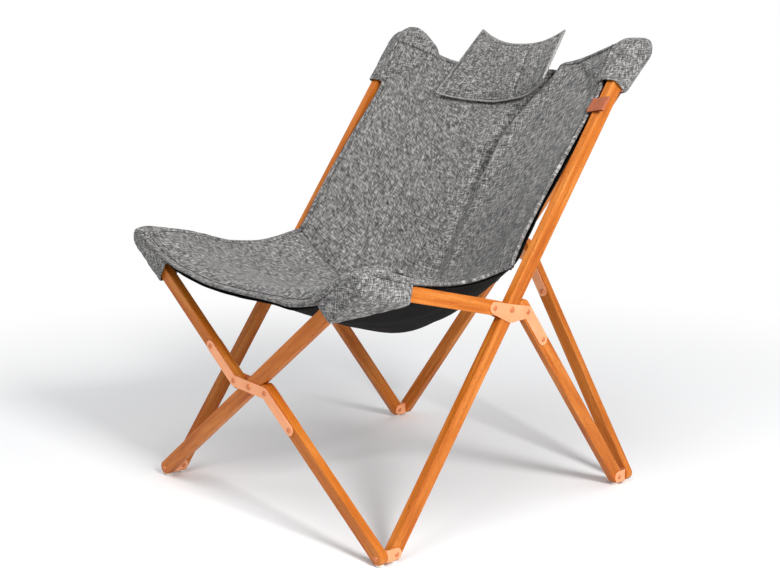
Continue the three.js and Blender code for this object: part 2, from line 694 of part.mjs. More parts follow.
function buildSling() {
  const even = (thickness) => () => thickness / 2;
  const frontSpace = pockets(chair, ["seat_right_pocket", "seat_left_pocket"], seatCorner);
  const topSpace = pockets(chair, ["top_right_pocket", "top_left_pocket"], topCorner);
  const seat = toSolid(cloth(toCrease(sling), even(coverThickness), seatGrid));
  const back = toSolid(cloth(fromCrease(sling), even(coverThickness), backGrid));
  place(chair, "seat_cover", biggest(seat.subtract(frontSpace)), heather);
  place(chair, "back_cover", biggest(back.subtract(topSpace)), heather);
  const seatLining = toSolid(cloth(toCrease(liningSurface), even(liningThickness), seatLiningGrid));
  const backLining = toSolid(cloth(fromCrease(liningSurface), even(liningThickness), backLiningGrid));
  place(chair, "seat_lining", biggest(seatLining.subtract(frontSpace)), black);
  place(chair, "back_lining", biggest(backLining.subtract(topSpace)), black);
  const crown = (u, v) => {
    const swell = (1 - Math.abs(u) ** pillowFullness[0]) * (1 - Math.abs(2 * v - 1) ** pillowFullness[1]);
    return pillowSeam + (pillowCrown - pillowSeam) * swell;
  };
  const pillow = toSolid(cloth(pillowSurface(), crown, pillowGrid));
  const wider = (u, v) => sling(u * (1 + touch / coverHalfWidth), v);
  const spread = toSolid(cloth(fromCrease(wider), even(coverThickness + 2 * touch), backGrid));
  place(chair, "headrest_pillow", biggest(pillow.subtract(spread)), heather);
  place(chair, "leather_tab", biggest(toSolid(tab()).subtract(spread)), leather);
}

buildFrame();
buildSling();

// The chair stands on its origin, which lies on the floor under the middle of its box
model.updateMatrixWorld(true);
const box = new THREE.Box3().setFromObject(model, true);
const middle = box.getCenter(new THREE.Vector3());
chair.position.set(-middle.x, -middle.y, -box.min.z);

export default model;
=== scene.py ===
import json
import math

import bmesh
import bpy
import numpy as np
from mathutils import Matrix, Vector, noise
from mathutils.bvhtree import BVHTree

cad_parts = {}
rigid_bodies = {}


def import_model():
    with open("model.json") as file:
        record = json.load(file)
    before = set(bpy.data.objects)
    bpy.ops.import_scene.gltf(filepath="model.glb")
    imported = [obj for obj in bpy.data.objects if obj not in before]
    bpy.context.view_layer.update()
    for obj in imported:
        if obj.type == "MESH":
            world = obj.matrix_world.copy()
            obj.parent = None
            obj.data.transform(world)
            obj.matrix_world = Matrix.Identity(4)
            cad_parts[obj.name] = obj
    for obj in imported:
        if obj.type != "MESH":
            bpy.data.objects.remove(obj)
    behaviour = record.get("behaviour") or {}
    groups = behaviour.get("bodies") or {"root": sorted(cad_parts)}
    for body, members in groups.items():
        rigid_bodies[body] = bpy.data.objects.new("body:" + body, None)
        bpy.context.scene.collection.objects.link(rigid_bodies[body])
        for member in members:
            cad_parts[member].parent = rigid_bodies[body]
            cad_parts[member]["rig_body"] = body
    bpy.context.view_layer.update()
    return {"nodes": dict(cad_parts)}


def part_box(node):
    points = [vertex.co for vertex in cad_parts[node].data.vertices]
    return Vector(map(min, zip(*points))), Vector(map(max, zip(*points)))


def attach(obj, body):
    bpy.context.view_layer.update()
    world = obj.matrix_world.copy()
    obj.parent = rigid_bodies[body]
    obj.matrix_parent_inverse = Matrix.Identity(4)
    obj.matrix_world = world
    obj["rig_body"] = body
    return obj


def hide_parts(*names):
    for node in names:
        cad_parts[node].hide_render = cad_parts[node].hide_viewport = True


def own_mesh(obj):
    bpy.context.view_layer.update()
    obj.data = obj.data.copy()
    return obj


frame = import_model()

MM = 0.001
X, Y, Z = Vector((1, 0, 0)), Vector((0, 1, 0)), Vector((0, 0, 1))

# Camera, from the fit of the frame to the photograph
CAMERA_PLACE = (2.0333, -1.8379, 0.9459)
CAMERA_AZIMUTH = 47.845
CAMERA_ELEVATION = 11.263
CAMERA_LENS = 63.152

# Frame sizes that the sling hangs by
FEET_DEPTH = 686.6 * MM
BACK_RISE = 873.2 * MM
PIN_Z = 18.027 * MM
PIN_Y = -326.813 * MM


# Making meshes

ROUND_STEPS = 32


def between(a, b, share):
    return a + (b - a) * share


def smooth_step(low, high, value):
    t = np.clip((value - low) / (high - low), 0, 1)
    return t * t * (3 - 2 * t)


def facing(way, side):
    """A direction or its opposite, whichever looks to a side."""
    return way if way.dot(side) > 0 else -way


def to_scene(name, data):
    piece = bpy.data.objects.new(name, data)
    bpy.context.scene.collection.objects.link(piece)
    return piece


def shade_smooth(mesh):
    mesh.polygons.foreach_set("use_smooth", [True] * len(mesh.polygons))


def to_object(name, body, finish):
    mesh = bpy.data.meshes.new(name)
    body.to_mesh(mesh)
    body.free()
    mesh.materials.append(finish)
    shade_smooth(mesh)
    return to_scene(name, mesh)


def bridge(body, low, high):
    """Faces between two rings of points, or between a ring and a single point."""
    faces = []
    for k in range(max(len(low), len(high))):
        after = k + 1
        corners = [low[k % len(low)], low[after % len(low)], high[after % len(high)], high[k % len(high)]]
        faces.append(body.faces.new(list(dict.fromkeys(corners))))
    return faces


def lathe(profile, matrix, body=None):
    """A closed body of revolution about a matrix's z, from (radius, height) pairs that start and end on it. It
    is added to the body that is given."""
    body = bmesh.new() if body is None else body
    turns = [2 * math.pi * k / ROUND_STEPS for k in range(ROUND_STEPS)]
    rings = []
    for radius, height in profile:
        ring = [(radius * math.cos(t), radius * math.sin(t), height) for t in turns if radius]
        rings.append([body.verts.new(matrix @ Vector(point)) for point in ring or [(0, 0, height)]])
    for low, high in zip(rings, rings[1:]):
        bridge(body, low, high)
    bmesh.ops.recalc_face_normals(body, faces=body.faces)
    return body


def aim(axis, place):
    """The matrix that takes z to the axis and the origin to the place."""
    matrix = axis.to_track_quat("Z", "Y").to_matrix().to_4x4()
    matrix.translation = place
    return matrix


def cut_behind(body, point, normal):
    """Cuts away what lies behind a plane, and gives the edges of the cut."""
    geometry = body.verts[:] + body.edges[:] + body.faces[:]
    cut = bmesh.ops.bisect_plane(body, geom=geometry, plane_co=point, plane_no=normal, clear_inner=True)
    return [g for g in cut["geom_cut"] if isinstance(g, bmesh.types.BMEdge)]


def break_edges(body, degrees, offset, segments, clamp=False):
    """Rounds off the edges that turn more than so many degrees."""
    edges = [e for e in body.edges if len(e.link_faces) == 2 and e.calc_face_angle(0) > math.radians(degrees)]
    bmesh.ops.bevel(body, geom=edges, offset=offset, segments=segments, profile=0.5, affect="EDGES",
                    clamp_overlap=clamp)


def flatten(piece, wider):
    """Faces that are wide for their outline are shaded flat, and the narrow ones round their edges."""
    mesh = piece.data
    for face in mesh.polygons:
        corners = [mesh.vertices[k].co for k in face.vertices]
        outline = sum((a - b).length for a, b in zip(corners, corners[1:] + corners[:1]))
        face.use_smooth = 2 * face.area / outline < wider


def sharpen(piece, degrees):
    """Edges that turn more than this stay sharp in the smooth shading."""
    mesh = piece.data
    body = bmesh.new()
    body.from_mesh(mesh)
    for edge in body.edges:
        edge.smooth = len(edge.link_faces) == 2 and edge.calc_face_angle(0) < math.radians(degrees)
    body.to_mesh(mesh)
    body.free()


def modify(piece, kind, **settings):
    step = piece.modifiers.new(kind.lower(), kind)
    for key, value in settings.items():
        setattr(step, key, value)
    return step


def settle(piece):
    """Applies a piece's modifiers, which leaves a plain mesh."""
    graph = bpy.context.evaluated_depsgraph_get()
    graph.update()
    mesh = bpy.data.meshes.new_from_object(piece.evaluated_get(graph))
    piece.modifiers.clear()
    old, piece.data = piece.data, mesh
    bpy.data.meshes.remove(old)


def surface_tree(piece):
    mesh = piece.data
    return BVHTree.FromPolygons([v.co for v in mesh.vertices], [tuple(p.vertices) for p in mesh.polygons])


# Taking the place of CAD nodes

def node_points(node):
    return [Vector(v.co) for v in frame["nodes"][node].data.vertices]


def middle_of(node):
    low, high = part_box(node)
    return (low + high) / 2


def body_of(node):
    return frame["nodes"][node]["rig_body"]


def stand_for(piece, node):
    """The piece takes a node's place, on its body."""
    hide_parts(node)
    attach(piece, body_of(node))


# Materials

def linear(hex_colour):
    parts = [int(hex_colour[k : k + 2], 16) / 255 for k in (1, 3, 5)]
    return [c / 12.92 if c <= 0.04045 else ((c + 0.055) / 1.055) ** 2.4 for c in parts] + [1.0]


def add(tree, kind, links=None, stops=None, **settings):
    """A node with its settings, its inputs linked or set by name or number, and the stops of its ramp, which
    are hex colours or levels of grey."""
    node = tree.nodes.new(kind)
    for key, value in settings.items():
        setattr(node, key, value)
    for key, value in (links or {}).items():
        if isinstance(value, bpy.types.NodeSocket):
            tree.links.new(value, node.inputs[key])
        else:
            node.inputs[key].default_value = value
    if stops:
        elements = node.color_ramp.elements
        while len(elements) < len(stops):
            elements.new(0.5)
        for element, (place, colour) in zip(elements, stops):
            element.position = place
            element.color = linear(colour) if isinstance(colour, str) else [colour] * 3 + [1.0]
    return node


def start_material(name, plain):
    """A new material, its tree and its shader, with what is the same all over on the shader's own sockets."""
    made = bpy.data.materials.new(name)
    made.use_nodes = True
    tree = made.node_tree
    tree.nodes.clear()
    shader = add(tree, "ShaderNodeBsdfPrincipled", plain)
    add(tree, "ShaderNodeOutputMaterial", {"Surface": shader.outputs["BSDF"]})
    return made, tree, shader


def mottle(tree, place, per_metre, detail, roughness):
    """An uneven tone, with so many spots to the metre in each direction."""
    spread = add(tree, "ShaderNodeMapping", {"Vector": place, "Scale": per_metre})
    links = {"Vector": spread.outputs["Vector"], "Scale": 1.0, "Detail": detail, "Roughness": roughness}
    return add(tree, "ShaderNodeTexNoise", links).outputs["Fac"]


def paint(tree, shader, tone, stops, relief=None):
    """Colours a shader by a tone, with a relief by its height, strength and depth, and returns the colour."""
    colour = add(tree, "ShaderNodeValToRGB", {"Fac": tone}, stops)
    tree.links.new(colour.outputs["Color"], shader.inputs["Base Color"])
    if relief:
        bump = add(tree, "ShaderNodeBump", dict(zip(("Height", "Strength", "Distance"), relief)))
        tree.links.new(bump.outputs["Normal"], shader.inputs["Normal"])
    return colour.outputs["Color"]


def stained_beech():
    """Beech under an orange stain and a satin lacquer: soft lengthwise streaks and short dark pore flecks,
    drawn 7 mm long where the real ones are about 3, so that they show."""
    made, tree, shader = start_material("stained_beech", {"Roughness": 0.45, "Specular IOR Level": 0.22})
    grain = add(tree, "ShaderNodeAttribute", attribute_name="grain").outputs["Vector"]
    streak = mottle(tree, grain, (7, 90, 90), 4.0, 0.55)
    fibre = mottle(tree, grain, (45, 900, 900), 3.0, 0.6)
    fleck = mottle(tree, grain, (140, 620, 620), 1.0, 0.4)
    stain = [(0.3, "#A9530F"), (0.5, "#C06A1E"), (0.7, "#CF8038")]
    colour = paint(tree, shader, streak, stain, (fibre, 0.25, 0.15 * MM))
    laid_over = ((1.0, fibre, [(0.3, 0.84), (0.7, 1.0)]), (0.75, fleck, [(0.27, 0.4), (0.36, 1.0)]))
    for share, tone, stops in laid_over:
        shade = add(tree, "ShaderNodeValToRGB", {"Fac": tone}, stops)
        links = {0: share, 6: colour, 7: shade.outputs["Color"]}
        colour = add(tree, "ShaderNodeMix", links, data_type="RGBA", blend_type="MULTIPLY").outputs[2]
    tree.links.new(colour, shader.inputs["Base Color"])
    return made


def copper_plate(name, dark, pale):
    """Copper-plated steel, rolled and tumbled: warm pink metal with a soft grain and faint clouding."""
    made, tree, shader = start_material(name, {"Metallic": 0.45})
    place = add(tree, "ShaderNodeTexCoord").outputs["Object"]
    cloud = mottle(tree, place, (25, 25, 25), 3.0, 0.5)
    grit = mottle(tree, place, (1800, 1800, 1800), 2.0, 0.5)
    paint(tree, shader, cloud, [(0.3, dark), (0.7, pale)], (grit, 0.2, 0.05 * MM))
    shine = add(tree, "ShaderNodeValToRGB", {"Fac": cloud}, [(0.3, 0.42), (0.7, 0.5)])
    tree.links.new(shine.outputs["Color"], shader.inputs["Roughness"])
    return made


def moulded_nylon():
    """Off-white nylon, moulded: a dull sheen, faintly clouded."""
    made, tree, shader = start_material("moulded_nylon", {"Roughness": 0.45, "IOR": 1.53})
    place = add(tree, "ShaderNodeTexCoord").outputs["Object"]
    paint(tree, shader, mottle(tree, place, (180, 180, 180), 2.0, 0.5), [(0.3, "#DEDBD2"), (0.7, "#EFEDE6")])
    return made


def tanned_leather():
    """Vegetable-tanned leather, waxed: red brown, with a fine uneven grain."""
    made, tree, shader = start_material("tanned_leather", {"Roughness": 0.5})
    place = add(tree, "ShaderNodeTexCoord").outputs["Object"]
    grain = mottle(tree, place, (900, 900, 900), 3.0, 0.6)
    paint(tree, shader, grain, [(0.3, "#8A3F1C"), (0.7, "#AD5A2C")], (grain, 0.4, 0.2 * MM))
    return made


def spun_thread():
    """Spun polyester thread, matt and nearly black: the dark stitches also stand in for the seam's groove as
    painted shade.
    """
    return start_material("spun_thread", {"Base Color": linear("#1E1E20"), "Roughness": 0.85})[0]


# The share that shows of the thread on top, and how far apart the tones of neighbouring threads are read
ON_TOP_SHARE = 0.54
THREADS_APART = 7.13


def woven(name, stops, pitch, slub, sheen):
    """Plain weave: every thread has its own tone along its length, and warp and weft lie on top by turns. The
    thread on top doesn't hide the other one, as the yarns are loose."""
    plain = {"Roughness": 0.95, "Sheen Weight": sheen, "Sheen Roughness": 0.6, "Specular IOR Level": 0.15}
    made, tree, shader = start_material(name, plain)
    weave = add(tree, "ShaderNodeUVMap", uv_map="weave").outputs["UV"]
    split = add(tree, "ShaderNodeSeparateXYZ", {0: weave})
    tones = []
    for along, across in ((0, 1), (1, 0)):
        counted = add(tree, "ShaderNodeMath", {0: split.outputs[across], 1: 1 / pitch}, operation="MULTIPLY")
        thread = add(tree, "ShaderNodeMath", {0: counted.outputs[0]}, operation="FLOOR")
        apart = {0: thread.outputs[0], 1: THREADS_APART + along}
        spread = add(tree, "ShaderNodeMath", apart, operation="MULTIPLY")
        length = add(tree, "ShaderNodeMath", {0: split.outputs[along], 1: 1 / slub}, operation="MULTIPLY")
        place = add(tree, "ShaderNodeCombineXYZ", {0: spread.outputs[0], 1: length.outputs[0]})
        links = {"Vector": place.outputs[0], "Scale": 1.0, "Detail": 0.0}
        tones.append(add(tree, "ShaderNodeTexNoise", links, noise_dimensions="2D").outputs["Fac"])
    checks = add(tree, "ShaderNodeTexChecker", {"Vector": weave, "Scale": 1 / pitch}).outputs["Fac"]
    over = add(tree, "ShaderNodeValToRGB", {"Fac": checks}, [(0.0, 1 - ON_TOP_SHARE), (1.0, ON_TOP_SHARE)])
    links = {0: over.outputs["Color"], 6: tones[0], 7: tones[1]}
    level = add(tree, "ShaderNodeMix", links, data_type="RGBA", blend_type="MIX").outputs[2]
    paint(tree, shader, level, stops, (level, 0.6, 0.5 * MM))
    return made


# The linen look is drawn at 1.25 mm a thread where the cloth has about 0.8, so that the cross-hatch shows
LINEN_PITCH = 1.25 * MM


def heather_linen():
    """Grey heather, linen-look polyester: slubbed yarns of dark and pale fibre."""
    stops = [(0.3, "#363638"), (0.44, "#575655"), (0.55, "#737170"), (0.7, "#AAA8A4")]
    return woven("heather_linen", stops, LINEN_PITCH, 11 * MM, 0.1)


def bias_piping():
    """The same cloth cut on the bias and rolled over a cord, drawn paler than the cover as painted highlight
    where the piping catches the light.
    """
    return woven("bias_piping", [(0.3, "#62615F"), (0.7, "#B2B0AC")], LINEN_PITCH, 6 * MM, 0.1)


def black_lining():
    """Black calico of fine even yarn, dull."""
    return woven("black_lining", [(0.3, "#060606"), (0.7, "#121212")], 0.8 * MM, 9 * MM, 0.0)


WOOD, NYLON, LEATHER, THREAD_AND_SEAM_SHADE = stained_beech(), moulded_nylon(), tanned_leather(), spun_thread()
COPPER = copper_plate("copper_plated_sheet", "#EA9C6C", "#F2AA7C")
# The rivets' copper is darker than the sheet's: partly their own tone, partly painted shade that stands in for
# the shadow ring round each head
RIVET_COPPER_AND_SHADE = copper_plate("copper_plated_rivet", "#BC6A40", "#CB7A4E")
LINEN, BLACK, PIPING_LIT = heather_linen(), black_lining(), bias_piping()


# Bars

BAR_ARRIS = 1.3 * MM
BAR_FLAT = 6 * MM
END_STEPS = 28
GRAIN_SHIFT = Vector((0.37, 0.11, 0.23))


def bar_axes(node):
    """A bar's length, width and thickness directions, from the largest of its flat faces."""
    sums = {}
    for face in frame["nodes"][node].data.polygons:
        key = tuple(round(abs(c), 2) for c in face.normal)
        area, direction = sums.get(key, (0, Vector()))
        sign = 1 if direction.dot(face.normal) >= 0 else -1
        sums[key] = (area + face.area, direction + face.normal * face.area * sign)
    ranked = sorted(sums.values(), key=lambda pair: -pair[0])
    through = ranked[0][1].normalized()
    across = next(d for _, d in ranked[1:] if abs(d.normalized().dot(through)) < 0.1).normalized()
    return across.cross(through).normalized(), across, through


def bar_frame(node):
    """The matrix of a bar's own axes at its centre, and its half sizes along them."""
    axes = np.array(bar_axes(node))
    local = np.array(node_points(node)) @ axes.T
    low, high = local.min(0), local.max(0)
    matrix = Matrix([[*row, 0] for row in axes] + [[0, 0, 0, 1]]).transposed()
    matrix.translation = Vector(axes.T @ ((low + high) / 2))
    return matrix, (high - low) / 2


def up_within(matrix):
    """The steepest way up within a bar's broad face."""
    through = matrix.col[2].xyz
    return (Z - through * Z.dot(through)).normalized()


def round_ended(half):
    """A slab of the given half sizes with round ends."""
    reach, radius, deep = half[0] - half[1], half[1], half[2]
    outline = []
    for side, heading in ((reach, -math.pi / 2), (-reach, math.pi / 2)):
        for k in range(END_STEPS + 1):
            turn = heading + math.pi * k / END_STEPS
            outline.append((side + radius * math.cos(turn), radius * math.sin(turn)))
    body = bmesh.new()
    bottom = [body.verts.new((a, b, -deep)) for a, b in outline]
    top = [body.verts.new((a, b, deep)) for a, b in outline]
    body.faces.new(bottom[::-1])
    body.faces.new(top)
    bridge(body, bottom, top)
    return body


def cut_foot(body, matrix, node):
    """Cuts the flat that a glide is nailed to, level with the lowest point of the bar's node."""
    up = up_within(matrix)
    level = min(point.dot(up) for point in node_points(node))
    point = matrix.inverted() @ (up * level + matrix.translation - up * matrix.translation.dot(up))
    rim = cut_behind(body, point, matrix.to_3x3().inverted() @ up)
    bmesh.ops.holes_fill(body, edges=rim)


def bar_piece(node, is_foot, seed):
    """A bar with round ends and its arrises sanded round, and its own stretch of the grain."""
    matrix, half = bar_frame(node)
    body = round_ended(half)
    if is_foot:
        cut_foot(body, matrix, node)
    bmesh.ops.recalc_face_normals(body, faces=body.faces)
    break_edges(body, 60, BAR_ARRIS, 3)
    grain = body.verts.layers.float_vector.new("grain")
    for vert in body.verts:
        vert[grain] = vert.co + GRAIN_SHIFT * seed
    body.transform(matrix)
    piece = to_object(node.removesuffix("_bar") + "_wood", body, WOOD)
    sharpen(piece, 50)
    flatten(piece, BAR_FLAT)
    stand_for(piece, node)
    return matrix, half


FEET = ["front_straight_bar", "front_lower_bar", "back_straight_bar", "back_lower_bar",
        "right_long_bar", "left_long_bar", "right_rear_leg", "left_rear_leg"]
HEADS = ["front_upper_bar", "back_upper_bar", "right_seat_arm", "left_seat_arm"]
BARS = {name: bar_piece(name, name in FEET, count + 1) for count, name in enumerate(FEET + HEADS)}


# Plates and brackets

SHEET_EDGE = 0.35 * MM
SHEET_FLAT = 2.2 * MM
HEAD_RADIUS, HEAD_RISE, SHANK_RADIUS = 5.75 * MM, 2.75 * MM, 2.6 * MM

# How a rivet head is told from its sheet: how far it stands proud of one of the widest faces, and faces its way
WIDEST_FACES = 6
HEAD_PROUD = 0.3 * MM
HEAD_FACING = 0.12


def colour_heads(piece):
    """Finds the rivet heads that are one solid with a sheet, and gives them the rivets' darker copper, which is
    partly their own tone and partly painted shade round the heads.
    """
    mesh = piece.data
    mesh.materials.append(RIVET_COPPER_AND_SHADE)
    widest = sorted(mesh.polygons, key=lambda face: -face.area)[:WIDEST_FACES]
    planes = [(face.normal.copy(), face.center.dot(face.normal)) for face in widest]
    for face in mesh.polygons:
        small = face.area < (2 * HEAD_RISE) ** 2
        for normal, level in planes:
            proud = HEAD_PROUD < face.center.dot(normal) - level < 3 * HEAD_RISE
            if small and proud and face.normal.dot(normal) > HEAD_FACING:
                face.material_index = 1


def sheet_piece(node):
    """A merged copy of a plate or bracket with its edges broken. One short edge is enough for the clamp to hold
    the width back all over, so that on about half of these sheets the edges stay almost sharp."""
    body = bmesh.new()
    body.from_mesh(frame["nodes"][node].data)
    bmesh.ops.remove_doubles(body, verts=body.verts, dist=1e-6)
    bmesh.ops.dissolve_limit(body, angle_limit=math.radians(1), verts=body.verts, edges=body.edges)
    break_edges(body, 40, SHEET_EDGE, 2, clamp=True)
    piece = to_object(node + "_finished", body, COPPER)
    sharpen(piece, 30)
    flatten(piece, SHEET_FLAT)
    colour_heads(piece)
    stand_for(piece, node)


for name in frame["nodes"]:
    if name.endswith(("_plate", "_bracket")):
        sheet_piece(name)


# Rivets

DOME_STEPS = 6
END_BAND = 0.2 * MM
HEAD_MARGIN = 0.5 * MM


def dome_profile():
    arc = [math.pi / 2 * k / DOME_STEPS for k in range(DOME_STEPS)]
    return [(0, 0)] + [(HEAD_RADIUS * math.cos(a), HEAD_RISE * math.sin(a)) for a in arc] + [(0, HEAD_RISE)]


def rivet_ends(node, axis, middle):
    """Where a rivet's shank ends, which way that is, and whether the node has a head there."""
    points = node_points(node)
    levels = [p.dot(axis) for p in points]
    ends = []
    for end, way in ((min(levels), -1), (max(levels), 1)):
        near = [p for p, level in zip(points, levels) if abs(level - end) < END_BAND]
        spread = max((p - axis * p.dot(axis) - middle).length for p in near)
        has_head = abs(spread - SHANK_RADIUS) > HEAD_MARGIN
        ends.append((end - way * HEAD_RISE if has_head else end, way, has_head))
    return ends


def rivet_piece(node, axis):
    """A round-headed rivet in the place of a rivet node: its shank and the heads that the node has."""
    centre = middle_of(node)
    middle = centre - axis * centre.dot(axis)
    ends = rivet_ends(node, axis, middle)
    start, stop = ends[0][0], ends[1][0]
    body = lathe([(0, start), (SHANK_RADIUS, start), (SHANK_RADIUS, stop), (0, stop)], aim(axis, middle))
    for level, way, has_head in ends:
        if has_head:
            lathe(dome_profile(), aim(axis * way, middle + axis * level), body)
    piece = to_object(node + "_turned", body, RIVET_COPPER_AND_SHADE)
    sharpen(piece, 40)
    stand_for(piece, node)


def rivet_axis(node):
    """Across the chair at the side crossings, and through the crossbars elsewhere."""
    if node in ("right_pivot_rivet", "left_pivot_rivet"):
        return X
    prefix = "front" if node.startswith(("front", "seat")) else "back"
    return BARS[prefix + "_straight_bar"][0].col[2].xyz.normalized()


for name in frame["nodes"]:
    if name.endswith("_rivet"):
        rivet_piece(name, rivet_axis(name))


# Glides

GLIDE_RADIUS, GLIDE_RISE = 7.6 * MM, 4.9 * MM
GLIDE_FLAT = 0.3 * GLIDE_RADIUS
GLIDE_STEPS = 8
GLIDE_BARS = {"front_right_bar_glide": "front_lower_bar", "front_left_bar_glide": "front_straight_bar",
              "back_right_bar_glide": "back_lower_bar", "back_left_bar_glide": "back_straight_bar"}


def glide_piece(node, bar):
    """A nail-on glide, domed, with the little flat that it stands on."""
    up = up_within(BARS[bar][0])
    middle = middle_of(node)
    foot = min(p.dot(up) for p in node_points(node))
    profile = [(0, 0)]
    for k in range(GLIDE_STEPS + 1):
        turn = math.pi / 2 * k / GLIDE_STEPS
        profile.append((between(GLIDE_FLAT, GLIDE_RADIUS, math.sin(turn)), GLIDE_RISE * (1 - math.cos(turn))))
    profile.append((0, GLIDE_RISE))
    body = lathe(profile, aim(up, middle - up * middle.dot(up) + up * foot))
    piece = to_object(node + "_moulded", body, NYLON)
    sharpen(piece, 50)
    stand_for(piece, node)


for name in frame["nodes"]:
    if name.endswith("_glide"):
        glide_piece(name, GLIDE_BARS.get(name, name.replace("_glide", "")))


# The sling's surface

# Twelve stations from the front hem to the top hem: how deep and how high the sling's edge and its middle lie
# there, as shares of the frame's sizes, and how its bow runs between them
EDGE_SHARES = [(-0.073, 0.556), (0.0, 0.584), (0.117, 0.562), (0.233, 0.535), (0.371, 0.53), (0.502, 0.554),
               (0.571, 0.62), (0.641, 0.692), (0.728, 0.775), (0.816, 0.857), (0.891, 0.93), (0.947, 1.008)]
MIDDLE_SHARES = [(-0.085, 0.497), (-0.022, 0.512), (0.109, 0.481), (0.24, 0.44), (0.382, 0.402), (0.502, 0.381),
                 (0.6, 0.409), (0.663, 0.483), (0.735, 0.596), (0.823, 0.721), (0.912, 0.83), (1.002, 0.924)]
BOW_POWERS = [2.6, 2.4, 2.1, 1.8, 1.5, 1.35, 1.4, 1.5, 1.6, 1.6, 1.4, 1.2]
HALF_COVER = 316 * MM
SLING_LONG = 1.05


def spline(rows, t):
    """Points of the uniform Catmull-Rom spline through the rows, t from 0 to 1."""
    rows = np.array(rows, float).reshape(len(rows), -1)
    place = np.clip(np.asarray(t, float), 0, 1) * (len(rows) - 1)
    index = np.minimum(np.floor(place).astype(int), len(rows) - 2)
    w = (place - index)[:, None]
    p0, p1 = rows[np.maximum(index - 1, 0)], rows[index]
    p2, p3 = rows[index + 1], rows[np.minimum(index + 2, len(rows) - 1)]
    m1, m2 = (p2 - p0) / 2, (p3 - p1) / 2
    return (2 * p1 - 2 * p2 + m1 + m2) * w**3 + (3 * p2 - 3 * p1 - 2 * m1 - m2) * w**2 + m1 * w + p1


def sling_points(us, vs):
    """The sling's middle surface as rows over vs of points over us: u from -1 to 1 across, v from 0 at the
    front hem to 1 at the top hem."""
    middle, edge, power = spline(MIDDLE_SHARES, vs), spline(EDGE_SHARES, vs), spline(BOW_POWERS, vs)
    us = np.broadcast_to(us, (len(vs), np.shape(us)[-1]))
    ease = (np.abs(us) ** power)[..., None]
    share = middle[:, None] * (1 - ease) + edge[:, None] * ease
    return np.dstack([us * HALF_COVER, share[..., 0] * FEET_DEPTH + PIN_Y, share[..., 1] * BACK_RISE + PIN_Z])


def sling(u, v):
    return Vector(sling_points(np.array([u]), np.array([v]))[0, 0])


def surface_normals(points):
    normals = np.cross(np.gradient(points, axis=1), np.gradient(points, axis=0))
    return normals / np.linalg.norm(normals, axis=2, keepdims=True)


def run_lengths(points, axis):
    """How far along its column or row each point of a grid lies, measured over the surface."""
    steps = np.linalg.norm(np.diff(points, axis=axis), axis=2)
    return np.pad(np.cumsum(steps, axis), ((1 - axis, 0), (axis, 0)))


def soft_noise(points, per_metre, seed):
    flat = [noise.noise(Vector(p) * per_metre + Vector((seed, 0, 0))) for p in points.reshape(-1, 3)]
    return np.array(flat).reshape(points.shape[:2])


def rim_of(grid):
    """The border of a grid, in order round it."""
    return np.concatenate([grid[0, :-1], grid[:-1, -1], grid[-1, :0:-1], grid[:0:-1, 0]])


def sheet_mesh(name, finish, top, low, places):
    """A closed cloth from its two faces and the UV places of their points, in metres."""
    along, across = top.shape[:2]
    grid = np.arange(along * across).reshape(along, across)
    quads = np.stack([grid[:-1, :-1], grid[:-1, 1:], grid[1:, 1:], grid[1:, :-1]], -1).reshape(-1, 4)
    shift = along * across
    rim = rim_of(grid)
    after = np.roll(rim, -1)
    sides = np.stack([rim, rim + shift, after + shift, after], -1)
    faces = np.concatenate([quads, quads[:, ::-1] + shift, sides])
    mesh = bpy.data.meshes.new(name)
    mesh.from_pydata(np.concatenate([top.reshape(-1, 3), low.reshape(-1, 3)]).tolist(), [], faces.tolist())
    weave = mesh.uv_layers.new(name="weave")
    both = np.concatenate([places.reshape(-1, 2)] * 2)
    weave.data.foreach_set("uv", both[faces.reshape(-1)].reshape(-1).astype(np.float32))
    shade_smooth(mesh)
    mesh.materials.append(finish)
    mesh.update()
    return to_scene(name, mesh)


def gather(piece):
    """Gives a soft piece its own copy of its mesh."""
    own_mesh(piece)


def hang(piece, node, trims=()):
    """Hangs a cloth and its trims on its body, each with its own copy of its mesh."""
    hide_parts(node)
    for part in (piece, *trims):
        gather(part)
        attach(part, body_of(node))


# Folds that the photograph shows: a path over the sling, half width and height in millimetres
BACK_FOLDS = [
    ([(0.42, 1.0), (0.34, 0.955), (0.22, 0.92), (0.12, 0.88), (0.1, 0.8)], 13, -20),
    ([(0.52, 0.98), (0.46, 0.95), (0.34, 0.905), (0.24, 0.86), (0.2, 0.78)], 15, 11),
    ([(0.1, 0.8), (0.08, 0.72), (0.05, 0.62)], 12, -6),
    ([(0.2, 0.78), (0.17, 0.7), (0.15, 0.62)], 14, 4),
    ([(-0.6, 0.6), (-0.55, 0.55), (-0.49, 0.49)], 6, -6),
    ([(-0.53, 0.59), (-0.46, 0.52)], 9, 5),
    ([(-0.2, 0.6), (-0.13, 0.5)], 12, -2),
    ([(0.38, 0.62), (0.42, 0.5)], 13, -2.5),
    ([(0.72, 0.72), (0.8, 0.6), (0.82, 0.5)], 14, 3),
    ([(0.66, 0.98), (0.8, 0.94), (0.9, 0.88)], 9, -2.5),
    ([(-0.55, 1.0), (-0.72, 0.94), (-0.85, 0.86)], 12, -3),
]
